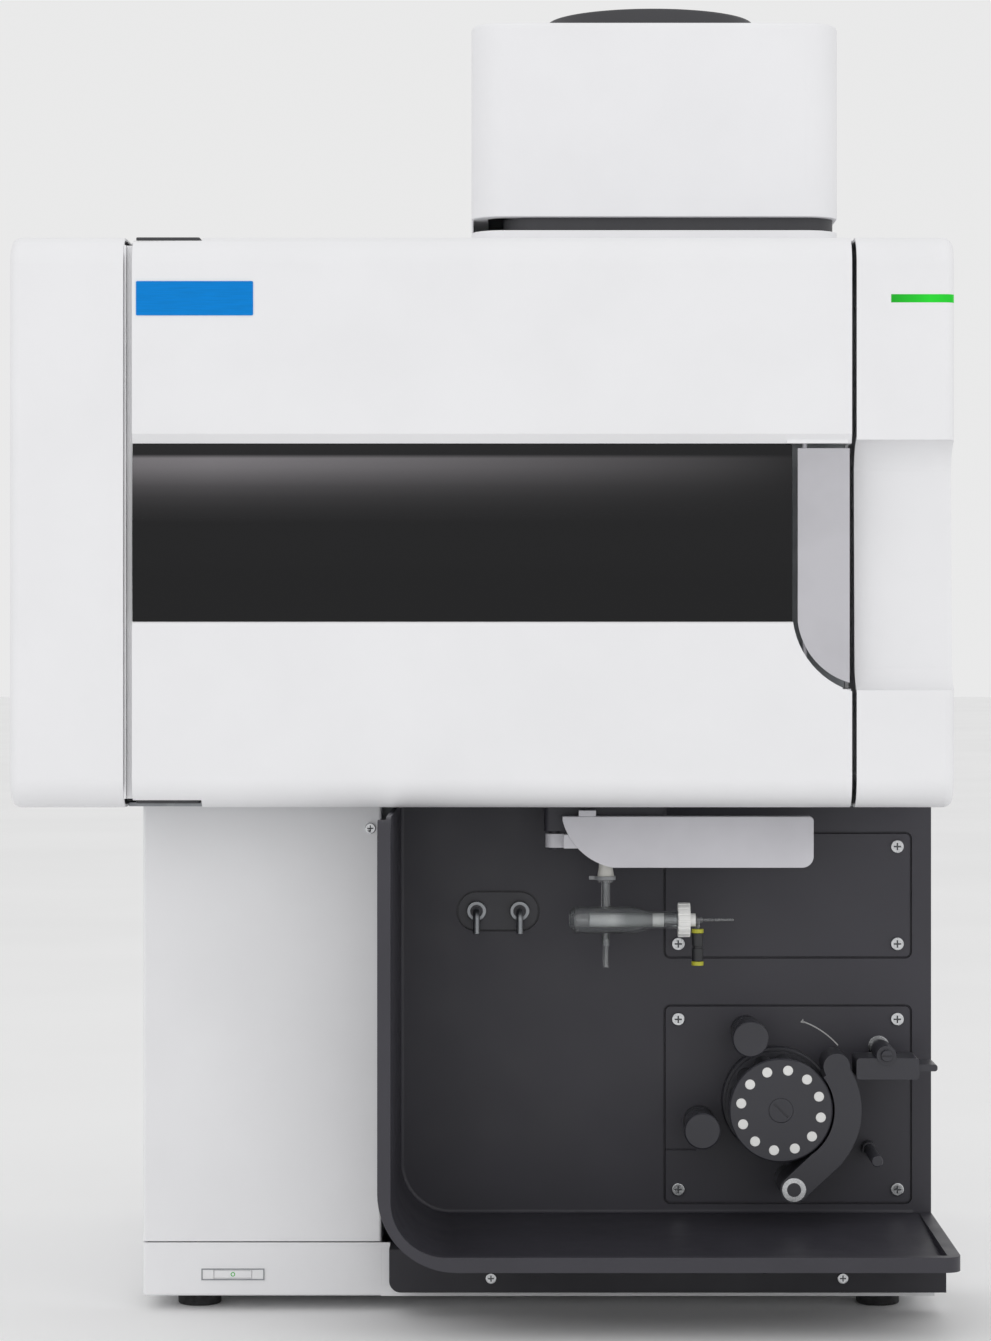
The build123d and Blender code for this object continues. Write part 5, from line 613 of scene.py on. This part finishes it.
# Finish of each material slot, and of the places that have one of their own
FINISHES = {
    "white_moulding": satin_moulding,
    "white_paint": lambda: powder_coat("white_powder_coat", "sheet_paint"),
    "smoked_window": smoked_acrylic,
    # Moulded ABS of the grip and the torch handle: plain grey, faintly grained. The handle's copy
    # is paler, as painted light against the shade under the cabinet
    "grip_grey": lambda: tinted_plastic("grey_moulded_grip", "grip", grain_mm=0.8),
    "handle_grey_with_painted_light": lambda: grained_plastic(
        "pale_grey_moulded_handle", tint("grip", 1.22), tint("grip", 1.36), grain_mm=0.8,
    ),
    "badge_blue": anodised_badge,
    "status_green": light_guide,
    "compartment_grey": lambda: tinted_plastic("dark_grey_liner", "liner", grain_mm=1.1),
    "tray_dark": lambda: powder_coat("charcoal_powder_coat", "tray_paint", peel_mm=1.2),
    # Turned and milled acetal: darker and a little waxier than the liner round it
    "pump_black": lambda: tinted_plastic("black_acetal", "pump", grain_mm=0.7, rough=(0.30, 0.40)),
    # Turned PTFE: warm white dots in the rotor's dark face
    "roller_white": lambda: grained_plastic(
        "white_ptfe", solid("#E6E6E4"), solid("#F0F0EE"), grain_mm=1.4, rough=(0.35, 0.45),
    ),
    # Zinc darkened as painted shade in a screw's recess, so that the cross reads at a distance
    "screw_recess": lambda: worked_metal(
        "shaded_zinc", "#5C5E60", "#707274", rough=(0.45, 0.60),
    ),
    # Ground stainless steel: the brightest metal, with narrow glints
    "bright_steel": lambda: worked_metal(
        "bright_steel", "#BFC1C3", "#D9DADC", rough=(0.16, 0.28), grain_mm=0.8,
    ),
    "zinc_steel": zinc_plate,
    "dark_steel": lambda: powder_coat("dark_grey_enamel", "chimney_ring", peel_mm=1.0),
    "cast_aluminium": cast_metal,
    "quartz": quartz_glass,
    "frosted_quartz": frosted_quartz,
    # Drawn copper tube of the coil: warm, with broad soft changes of tone
    "copper": lambda: worked_metal(
        "drawn_copper_tube", "#A85C3A", "#D38A5E", rough=(0.22, 0.40), grain_mm=6.0,
    ),
    # Moulded polymer of the torch base: warm off-white, matt
    "torch_polymer": lambda: grained_plastic(
        "torch_base_polymer", solid("#D9D8D2"), solid("#E4E3DE"),
    ),
    # Moulded acetal of the joint clip: mid grey, slightly waxy
    "clip_blue": lambda: tinted_plastic("grey_acetal_clip", "clip", grain_mm=0.7),
    "connector_green": two_tone_nylon,
    # Baked enamel of the motor: near black, evenly matt
    "motor_black": lambda: grained_plastic(
        "black_motor_enamel", solid("#1F1F21"), solid("#28282A"),
    ),
    "board_green": solder_mask,
    # Moulded polycarbonate of the mains inlet: black and finely grained
    "socket_black": lambda: grained_plastic(
        "black_polycarbonate", solid("#17171A"), solid("#202023"), grain_mm=0.8,
    ),
    "rubber_black": nitrile_rubber,
    # Turned brass of the unions: yellow, with fine broken glints
    "fitting_brass": lambda: worked_metal(
        "turned_brass", "#B08D4C", "#CDAA66", rough=(0.20, 0.34),
    ),
}
made_finishes = {}


def finish_of(slot):
    """The finish of a material slot, made once."""
    if slot not in made_finishes:
        made_finishes[slot] = FINISHES[slot]()
    return made_finishes[slot]


# Detail pieces

FRONT = (pi / 2, 0, 0)
BACK = (-pi / 2, 0, 0)

# Shares of a screw head's height or radius
HEAD_ROUND = 0.45
CROSS_REACH = 1.1
CROSS_WIDTH = 0.24
CROSS_DEPTH = 0.9


def pan_screw(radius, height, place, turn):
    """Pan-head screw with a cross recess, facing along its turned Z axis."""
    bpy.ops.mesh.primitive_cylinder_add(
        vertices=24, radius=radius, depth=height, location=(0, 0, height / 2),
    )
    head = bpy.context.object
    bevel(head, height * HEAD_ROUND, 3)
    for quarter in (0, pi / 2):
        bpy.ops.mesh.primitive_cube_add(size=1, location=(0, 0, height))
        cutter = bpy.context.object
        cutter.scale = (radius * CROSS_REACH, radius * CROSS_WIDTH, height * CROSS_DEPTH)
        cutter.rotation_euler.z = quarter
        settle(cutter)
        cut = head.modifiers.new("recess", "BOOLEAN")
        cut.operation = "DIFFERENCE"
        cut.object = cutter
        apply_modifiers(head)
        bpy.data.objects.remove(cutter)
    head.rotation_euler = turn
    head.location = place
    settle(head)
    return head


def dome(radius, height, place, turn):
    """Domed rivet head with a flat foot."""
    bpy.ops.mesh.primitive_uv_sphere_add(segments=24, ring_count=12, radius=radius)
    head = bpy.context.object
    bpy.ops.object.mode_set(mode="EDIT")
    bpy.ops.mesh.select_all(action="SELECT")
    bpy.ops.mesh.bisect(
        plane_co=(0, 0, 0), plane_no=(0, 0, 1), use_fill=True, clear_inner=True,
    )
    bpy.ops.object.mode_set(mode="OBJECT")
    head.scale.z = height / radius
    head.rotation_euler = turn
    head.location = place
    settle(head)
    return head


def strip(low, high, rounding):
    """Thin bar between two corners, with rounded edges."""
    bpy.ops.mesh.primitive_cube_add(size=1, location=(Vector(low) + Vector(high)) / 2)
    bar = bpy.context.object
    bar.scale = Vector(high) - Vector(low)
    settle(bar)
    bpy.ops.object.mode_set(mode="EDIT")
    bpy.ops.mesh.select_all(action="SELECT")
    bpy.ops.mesh.bevel(offset=rounding, segments=3)
    bpy.ops.object.mode_set(mode="OBJECT")
    return bar


def border(x0, x1, z0, z1, y, width, height, rounding):
    """Rectangular seal that lies in an upright plane and stands off it towards the back."""
    bpy.ops.mesh.primitive_plane_add(
        size=1, location=((x0 + x1) / 2, y, (z0 + z1) / 2), rotation=FRONT,
    )
    seal = bpy.context.object
    seal.scale = (x1 - x0, z1 - z0, 1)
    settle(seal)
    bpy.ops.object.mode_set(mode="EDIT")
    bpy.ops.mesh.select_all(action="SELECT")
    bpy.ops.mesh.inset(thickness=width, depth=0)
    bpy.ops.mesh.delete(type="FACE")
    bpy.ops.mesh.select_all(action="SELECT")
    bpy.ops.mesh.extrude_region_move(TRANSFORM_OT_translate={"value": (0, height, 0)})
    bpy.ops.mesh.select_all(action="SELECT")
    bpy.ops.mesh.normals_make_consistent(inside=False)
    bpy.ops.object.mode_set(mode="OBJECT")
    bevel(seal, rounding, 3)
    return seal


# Steps of a printed arc, and the share of its width under which two corners are one
ARC_STEPS = 24
SAME_SHARE = 0.1


def ribbon(centre, radius, width, start, end, y):
    """Thin printed arc in an upright plane about a centre (x, z), from one angle to another."""
    bpy.ops.mesh.primitive_plane_add(size=1)
    line = bpy.context.object
    bpy.ops.object.mode_set(mode="EDIT")
    bpy.ops.mesh.select_all(action="SELECT")
    bpy.ops.mesh.delete(type="ONLY_FACE")
    bpy.ops.object.mode_set(mode="OBJECT")
    for vertex, side in zip(line.data.vertices, (-1, 1, -1, 1)):
        reach = radius + side * width / 2
        vertex.co = (centre[0] + reach * cos(start), y, centre[1] + reach * sin(start))
    bpy.ops.object.mode_set(mode="EDIT")
    bpy.ops.mesh.select_all(action="SELECT")
    bpy.ops.mesh.remove_doubles(threshold=width * SAME_SHARE)
    bpy.ops.mesh.spin(
        steps=ARC_STEPS, angle=end - start, center=(centre[0], y, centre[1]), axis=(0, 1, 0),
    )
    bpy.ops.mesh.select_all(action="SELECT")
    bpy.ops.mesh.remove_doubles(threshold=width * SAME_SHARE)
    bpy.ops.mesh.normals_make_consistent(inside=False)
    bpy.ops.object.mode_set(mode="OBJECT")
    return line


# Operators

class SPECTROMETER_OT_caps(bpy.types.Operator):
    """Finish the side caps, the top cover and the status light"""

    bl_idname = "spectrometer.caps"
    bl_label = "Caps and cover"

    def execute(self, context):
        dress_all(("left_side_cap", "right_side_cap", "top_cover"), sizes().moulded_edge)
        dress("status_light_bar", sizes().machined_edge)
        return {"FINISHED"}


# Door: its seal, and the lips in the gap at its hinge side
SEAL_INSET = 2.0
SEAL_ROUND = 0.3
LIP_DEPTH = 10.0 * MM
LIP_REACH = 5.8 * MM
LIP_THICK = 4.0 * MM
LIP_END = 8.0 * MM
LIP_LAP = 0.3 * MM
LIP_ROUND = 0.4 * MM
CAP_LIP_DEPTH = 4.5 * MM
CAP_LIP_THICK = 2.5 * MM


class SPECTROMETER_OT_door(bpy.types.Operator):
    """Finish the door with its window, grip, badge and hinges, and add its seal"""

    bl_idname = "spectrometer.door"
    bl_label = "Door"

    def execute(self, context):
        dress("door_shell", sizes().moulded_edge)
        dress("door_grip", sizes().moulded_edge)
        dress_all(("door_window", "badge_plate"), sizes().machined_edge)
        dress_all(("door_inner_panel", "door_hinges"), sizes().sheet_edge)
        low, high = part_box("door_inner_panel")
        width, height = sizes().gasket_width, sizes().gasket_height
        inset = SEAL_INSET * width
        seal = border(
            low.x + inset, high.x - inset, low.z + inset, high.z - inset, high.y,
            width, height, height * SEAL_ROUND,
        )
        own_piece(seal, "door_seal", "door", "rubber_black")
        self.add_edge_strip()
        return {"FINISHED"}

    def add_edge_strip(self):
        """Pale lips on the hinge side: one on the door, one on the cap in front of its swing."""
        low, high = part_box("door_shell")
        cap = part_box("left_side_cap")[1].x
        end = low.x - LIP_REACH
        lips = (
            ("door_edge_lip", "door", end, low.x, LIP_DEPTH, LIP_THICK),
            ("cap_edge_lip", "cabinet", cap, end + LIP_LAP, CAP_LIP_DEPTH, CAP_LIP_THICK),
        )
        for name, body, left, right, depth, thick in lips:
            front = low.y + depth
            lip = strip(
                (left, front, low.z + LIP_END), (right, front + thick, high.z - LIP_END),
                LIP_ROUND,
            )
            own_piece(lip, name, body, "white_moulding")


class SPECTROMETER_OT_chimney(bpy.types.Operator):
    """Finish the chimney cover, its pedestal and the flue"""

    bl_idname = "spectrometer.chimney"
    bl_label = "Chimney"

    def execute(self, context):
        dress("chimney_cover", sizes().moulded_edge)
        dress_all(("chimney_pedestal", "exhaust_flue"), sizes().sheet_edge)
        return {"FINISHED"}


class SPECTROMETER_OT_upper_units(bpy.types.Operator):
    """Finish the frame, torch compartment, optics and generator of the upper cabinet"""

    bl_idname = "spectrometer.upper_units"
    bl_label = "Upper units"

    def execute(self, context):
        dress_all(("upper_frame", "torch_compartment", "rf_generator"), sizes().sheet_edge)
        dress_all(("optics_housing", "optics_cover"), sizes().moulded_edge)
        return {"FINISHED"}


class SPECTROMETER_OT_torch(bpy.types.Operator):
    """Finish the torch, its coil, its clamp and the handle of the clamp"""

    bl_idname = "spectrometer.torch"
    bl_label = "Torch"

    def execute(self, context):
        dress_all(("torch_base", "torch_clamp"), sizes().machined_edge)
        dress_all(("torch_tubes", "induction_coil"), 0.0)
        # The handle takes a paler copy of the grip's finish: painted light against the shade under
        # the cabinet
        dress("torch_handle", sizes().moulded_edge, finish_of("handle_grey_with_painted_light"))
        return {"FINISHED"}


# Gas ports: plate, distance of the two ports, and how far a bore, ring and elbow reach.
# The last is the reach of the spray chamber's inner tube from its axis
PORT_PLATE = 6.2 * MM
PORT_SPACING = 38.6 * MM
PORT_BORE = 5.6 * MM
PORT_RING = 5.8 * MM
PORT_EDGE = 0.2 * MM
PORT_ELBOW = 6.8 * MM
INNER_TUBE_REACH = 6.1 * MM


class SPECTROMETER_OT_sample_glass(bpy.types.Operator):
    """Finish the spray chamber, the nebuliser and their fittings"""

    bl_idname = "spectrometer.sample_glass"
    bl_label = "Sample glass"

    def execute(self, context):
        dress_all(("spray_chamber", "nebuliser"), 0.0)
        dress_all(("nebuliser_nut", "gas_connector", "joint_clip"), sizes().machined_edge)
        self.brighten_ports()
        self.frost_inner_tube()
        return {"FINISHED"}

    def brighten_ports(self):
        """Zinc on the rings and elbows, which stand in front of the ports' dark plate."""
        ports = dress("gas_ports", sizes().machined_edge)
        low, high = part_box("gas_ports")
        face = high.y - PORT_PLATE
        centre = (low.xz + high.xz) / 2
        bores = [centre + Vector((side * PORT_SPACING / 2, 0)) for side in (-1, 1)]

        def bright(middle):
            across = min((middle.xz - bore).length for bore in bores)
            proud = face - middle.y
            on_ring = across > PORT_BORE or abs(proud - PORT_RING) < PORT_EDGE
            return proud > 0 and (on_ring or proud > PORT_ELBOW)

        second_finish(ports, finish_of("zinc_steel"), bright)

    def frost_inner_tube(self):
        """Ground surface on the tube inside the clear chamber."""
        low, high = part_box("nebuliser_nut")
        axis = (low + high) / 2
        second_finish(
            bpy.data.objects["spray_chamber_finished"], finish_of("frosted_quartz"),
            lambda middle: (middle.yz - axis.yz).length < INNER_TUBE_REACH and middle.x < axis.x,
        )


# Screws: share of a head's width that its recess takes, and how deep the painted shade starts
RECESS_SHARE = 0.29
RECESS_START = 0.1 * MM

# Rivets: places, height on the box and share of the radius that they stand proud
RIVET_X = tuple(x * MM for x in (60.0, 121.0, 182.0, 243.0))
RIVET_LEVEL = 0.5
RIVET_RISE = 0.5

# Printed arrow: its arc round the rotor, and its head in widths of the line
INK_PROUD = 0.05 * MM
ARROW_RADIUS = 74.3 * MM
ARROW_START = radians(41)
ARROW_END = radians(71)
ARROW_LEAN = radians(4)
ARROW_HEAD = 2.2
ARROW_HEAD_NARROW = 0.75


class SPECTROMETER_OT_compartment(bpy.types.Operator):
    """Finish the liner and its plates and screws, and add rivets and the printed arrow"""

    bl_idname = "spectrometer.compartment"
    bl_label = "Sample compartment"

    def execute(self, context):
        dress("compartment_liner", sizes().moulded_edge)
        dress_all(("tray_box", "access_plate", "pump_plate"), sizes().sheet_edge)
        self.add_screws()
        self.add_rivets()
        self.add_arrow()
        return {"FINISHED"}

    def add_screws(self):
        """The construction's own screws, with painted shade in their cross recesses."""
        screws = dress("panel_screws", 0.0)
        heads = [
            ((low + high) / 2, high.x - low.x, low.y) for low, high in loose_boxes("panel_screws")
        ]

        def in_recess(middle):
            return any(
                (middle.xz - head.xz).length < RECESS_SHARE * across
                and front + RECESS_START < middle.y for head, across, front in heads
            )

        second_finish(screws, finish_of("screw_recess"), in_recess)

    def add_rivets(self):
        """Domed rivets along the front of the box under the tray."""
        low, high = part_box("tray_box")
        level = low.z + (high.z - low.z) * RIVET_LEVEL
        radius = sizes().rivet_radius
        first = dome(radius, radius * RIVET_RISE, (RIVET_X[0], low.y, level), FRONT)
        rivets = repeated(first, [(x - RIVET_X[0], 0, 0) for x in RIVET_X[1:]])
        own_piece(rivets, "tray_box_rivets", "cabinet", "tray_dark")

    def add_arrow(self):
        """Printed arrow round the pump that shows which way the rotor turns."""
        low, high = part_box("pump_rotor")
        centre = ((low.x + high.x) / 2, (low.z + high.z) / 2)
        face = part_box("pump_plate")[0].y - INK_PROUD
        width = sizes().arrow_width
        line = ribbon(centre, ARROW_RADIUS, width, ARROW_START, ARROW_END, face)
        tip = (
            centre[0] + ARROW_RADIUS * cos(ARROW_END), face,
            centre[1] + ARROW_RADIUS * sin(ARROW_END),
        )
        bpy.ops.mesh.primitive_circle_add(
            vertices=3, radius=ARROW_HEAD * width, fill_type="NGON", location=tip,
            rotation=(pi / 2, pi / 2 - ARROW_END - ARROW_LEAN, 0),
        )
        head = bpy.context.object
        head.scale.x = ARROW_HEAD_NARROW
        settle(head)
        ink = printed_ink("light_grey_ink", "#B8B8B8")
        own_piece(join([line, head]), "pump_direction_arrow", "cabinet", "compartment_grey", ink)


# Depth of the ends of the pump's pins that keep a finish of their own
PIN_END_DEPTH = 1.0 * MM


class SPECTROMETER_OT_pump(bpy.types.Operator):
    """Finish the peristaltic pump"""

    bl_idname = "spectrometer.pump"
    bl_label = "Peristaltic pump"

    def execute(self, context):
        edge = sizes().machined_edge
        dress_all((
            "pump_flange", "pump_motor", "pump_rotor", "pressure_arm", "clamp_lever",
            "bright_rings", "pump_posts",
        ), edge)
        black = finish_of("pump_black")
        # The lever's shaft is black, and so is the end of the arm's pin inside its ring
        shafts = dress("pump_shafts", edge)
        lowest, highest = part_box("pump_shafts")
        level = (lowest.z + highest.z) / 2
        fronts = [low.y for low, high in loose_boxes("pump_shafts") if high.z < level]
        pin_end = min(fronts) + PIN_END_DEPTH
        second_finish(shafts, black, lambda middle: middle.z > level or middle.y < pin_end)
        # Only the ends of the rollers' pins are white in the rotor's face
        rollers = dress("pump_rollers", edge)
        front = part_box("pump_rollers")[0].y + PIN_END_DEPTH
        second_finish(rollers, black, lambda middle: middle.y > front)
        return {"FINISHED"}


# End of the base's front, rim of the power bezel, and lamp ring of the power button
RETURN_WIDTH = 8.0 * MM
RETURN_GAP = 0.3 * MM
RETURN_SHEET = 2.5 * MM
RIM_WIDTH = 1.1 * MM
RIM_PROUD = 0.4 * MM
RIM_ROUND = 0.4
LAMP_RADIUS = 1.6 * MM
LAMP_WIRE = 0.22
LAMP_FLAT = 0.25


class SPECTROMETER_OT_lower_cabinet(bpy.types.Operator):
    """Finish the base, panels, frame, feet and front button of the lower cabinet"""

    bl_idname = "spectrometer.lower_cabinet"
    bl_label = "Lower cabinet"

    def execute(self, context):
        dress_all(
            ("base_pan", "lower_front_panel", "lower_side_panels", "lower_frame"),
            sizes().sheet_edge,
        )
        dress("feet", sizes().machined_edge)
        self.add_front_return()
        for node in ("power_bezel", "power_button"):
            dress(node, sizes().machined_edge, finish_of("white_moulding"))
        self.add_bezel_rim()
        self.add_lamp_ring()
        return {"FINISHED"}

    def add_front_return(self):
        """Folded end of the base's front beside the box under the tray."""
        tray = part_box("tray_box")[0]
        low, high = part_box("base_pan")
        end = strip(
            (tray.x - RETURN_WIDTH, low.y, tray.z),
            (tray.x - RETURN_GAP, low.y + RETURN_SHEET, high.z), sizes().sheet_edge,
        )
        own_piece(end, "base_front_return", "cabinet", SLOTS["base_pan"])

    def add_bezel_rim(self):
        """Thin metal rim round the power bezel."""
        low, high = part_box("power_bezel")
        rim = border(
            low.x, high.x, low.z, high.z, low.y - RIM_PROUD, RIM_WIDTH, RIM_PROUD,
            RIM_PROUD * RIM_ROUND,
        )
        own_piece(
            rim, "power_bezel_rim", "cabinet", SLOTS["power_bezel"], finish_of("zinc_steel"),
        )

    def add_lamp_ring(self):
        """Green ring of light on the power button."""
        low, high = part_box("power_button")
        bpy.ops.mesh.primitive_torus_add(
            major_radius=LAMP_RADIUS, minor_radius=LAMP_RADIUS * LAMP_WIRE,
            major_segments=32, minor_segments=8, rotation=FRONT,
            location=((low.x + high.x) / 2, low.y, (low.z + high.z) / 2),
        )
        lamp = bpy.context.object
        lamp.scale.z = LAMP_FLAT
        own_piece(lamp, "power_lamp_ring", "power_button", "status_green")


# Screws of the rear covers: distance from the edge, shares of the width, rise per radius
COVER_SCREW_INSET = 12.0 * MM
COVER_SCREW_SHARES = (0.0, 0.30, 0.72, 1.0)
SCREW_RISE = 0.55


def edge_places(low, high):
    """Places of the screws along the upper and lower edge of a rear cover."""
    left, right = low.x + COVER_SCREW_INSET, high.x - COVER_SCREW_INSET
    return [
        (left + (right - left) * share, level)
        for share in COVER_SCREW_SHARES
        for level in (low.z + COVER_SCREW_INSET, high.z - COVER_SCREW_INSET)
    ]


class SPECTROMETER_OT_rear(bpy.types.Operator):
    """Finish the rear covers, fan, mains inlet and unions, and add the covers' screws"""

    bl_idname = "spectrometer.rear"
    bl_label = "Rear"

    def execute(self, context):
        dress("rear_covers", sizes().sheet_edge)
        dress_all(("fan_frame", "fan_rotor", "mains_inlet", "mains_rocker"), sizes().machined_edge)
        dress("fan_grille", 0.0)
        dress("rear_fittings", sizes().machined_edge)
        self.add_cover_screws()
        return {"FINISHED"}

    def add_cover_screws(self):
        """Cross-head screws along the edges of the two rear covers."""
        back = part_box("rear_covers")[1].y
        radius = sizes().cover_screw_radius
        places = [
            place for low, high in loose_boxes("rear_covers") for place in edge_places(low, high)
        ]
        first_x, first_z = places[0]
        first = pan_screw(radius, radius * SCREW_RISE, (first_x, back, first_z), BACK)
        screws = repeated(first, [(x - first_x, 0, z - first_z) for x, z in places[1:]])
        own_piece(screws, "rear_cover_screws", "cabinet", "zinc_steel")


class SPECTROMETER_OT_inner_units(bpy.types.Operator):
    """Finish the power supply, control board and gas manifold"""

    bl_idname = "spectrometer.inner_units"
    bl_label = "Inner units"

    def execute(self, context):
        dress_all(("power_supply", "control_board"), sizes().sheet_edge)
        dress("gas_manifold", sizes().machined_edge)
        return {"FINISHED"}


# Stage, seen as a level camera 3.2 m in front of the cabinet sees it

CAMERA_PLACE = (0.0406, -3.517, 0.594)
SENSOR = 36.0
LENS = 101.6
SHIFT = (-0.0257, -0.0302)
LIGHT_AIM = (0.0, 0.0, 0.55)
FLOOR_REACH = 30.0

# Name, place, width and height in metres, and power in watts
SOFTBOXES = (
    ("key_light", (-1.6, -3.0, 2.2), (2.4, 2.4), 7.0),
    ("fill_light", (2.4, -2.6, 1.6), (2.0, 2.4), 7.0),
    ("top_light", (0.0, -0.4, 3.2), (3.0, 3.0), 5.0),
    ("low_light", (-0.6, -4.2, 0.6), (3.0, 1.0), 11.0),
)
ROOM_GLOW = 0.82


class SPECTROMETER_OT_stage(bpy.types.Operator):
    """Set up the floor, the lights and the camera"""

    bl_idname = "spectrometer.stage"
    bl_label = "Stage"

    def execute(self, context):
        self.add_floor()
        for name, place, (width, height), power in SOFTBOXES:
            self.add_softbox(name, place, width, height, power)
        world = bpy.data.worlds.new("soft_room")
        world.use_nodes = True
        glow = world.node_tree.nodes["Background"]
        glow.inputs["Color"].default_value = (1.0, 1.0, 1.0, 1.0)
        glow.inputs["Strength"].default_value = ROOM_GLOW
        context.scene.world = world
        context.scene.view_settings.view_transform = "Standard"
        lens = bpy.data.cameras.new("photo_view")
        lens.sensor_width = SENSOR
        lens.lens = LENS
        lens.shift_x, lens.shift_y = SHIFT
        camera = bpy.data.objects.new("photo_view", lens)
        camera.location = CAMERA_PLACE
        camera.rotation_euler = FRONT
        context.scene.collection.objects.link(camera)
        context.scene.camera = camera
        return {"FINISHED"}

    def add_floor(self):
        """Wide pale floor."""
        bpy.ops.mesh.primitive_plane_add(size=2 * FLOOR_REACH)
        floor = bpy.context.object
        floor.name = "pale_floor"
        floor.data.materials.clear()
        floor.data.materials.append(matt_paper())

    def add_softbox(self, name, place, width, height, power):
        """Large soft lamp turned towards the middle of the cabinet."""
        lamp = bpy.data.lights.new(name, "AREA")
        lamp.shape = "RECTANGLE"
        lamp.size, lamp.size_y = width, height
        lamp.energy = power
        holder = bpy.data.objects.new(name, lamp)
        holder.location = place
        aim = Vector(LIGHT_AIM) - Vector(place)
        holder.rotation_euler = aim.to_track_quat("-Z", "Y").to_euler()
        holder.visible_glossy = False
        bpy.context.scene.collection.objects.link(holder)


def matt_paper():
    """Floor of studio paper: matt and almost white, with the faintest drift of tone."""
    material, tree, shader, place = start_material("white_studio_paper", {"Roughness": 0.9})
    paint(tree, shader, place, size_mm=900, low=solid("#F4F4F4"), high=solid("#F7F7F7"))
    return material


OPERATORS = (
    SPECTROMETER_OT_caps, SPECTROMETER_OT_door, SPECTROMETER_OT_chimney,
    SPECTROMETER_OT_upper_units, SPECTROMETER_OT_torch, SPECTROMETER_OT_sample_glass,
    SPECTROMETER_OT_compartment, SPECTROMETER_OT_pump, SPECTROMETER_OT_lower_cabinet,
    SPECTROMETER_OT_rear, SPECTROMETER_OT_inner_units, SPECTROMETER_OT_stage,
)


class SPECTROMETER_PT_panel(bpy.types.Panel):
    """Steps of the finishing, in order"""

    bl_idname = "SPECTROMETER_PT_panel"
    bl_label = "Plasma spectrometer"
    bl_space_type = "VIEW_3D"
    bl_region_type = "UI"
    bl_category = "Spectrometer"

    def draw(self, context):
        column = self.layout.column(align=True)
        for operator in OPERATORS:
            column.operator(operator.bl_idname)
        for group in (context.scene.spectrometer_sizes, context.scene.spectrometer_colours):
            box = self.layout.box()
            for name in group.bl_rna.properties.keys():
                if name not in ("rna_type", "name"):
                    box.prop(group, name)


CLASSES = (SpectrometerSizes, SpectrometerColours) + OPERATORS + (SPECTROMETER_PT_panel,)


def register():
    """Registers the settings, the operators and the panel."""
    for entry in CLASSES:
        bpy.utils.register_class(entry)
    bpy.types.Scene.spectrometer_sizes = bpy.props.PointerProperty(type=SpectrometerSizes)
    bpy.types.Scene.spectrometer_colours = bpy.props.PointerProperty(type=SpectrometerColours)


def unregister():
    """Removes what register adds."""
    del bpy.types.Scene.spectrometer_colours
    del bpy.types.Scene.spectrometer_sizes
    for entry in reversed(CLASSES):
        bpy.utils.unregister_class(entry)


def main():
    """Registers the add-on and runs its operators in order."""
    register()
    bpy.ops.spectrometer.caps()
    bpy.ops.spectrometer.door()
    bpy.ops.spectrometer.chimney()
    bpy.ops.spectrometer.upper_units()
    bpy.ops.spectrometer.torch()
    bpy.ops.spectrometer.sample_glass()
    bpy.ops.spectrometer.compartment()
    bpy.ops.spectrometer.pump()
    bpy.ops.spectrometer.lower_cabinet()
    bpy.ops.spectrometer.rear()
    bpy.ops.spectrometer.inner_units()
    bpy.ops.spectrometer.stage()


if __name__ == "__main__":
    main()
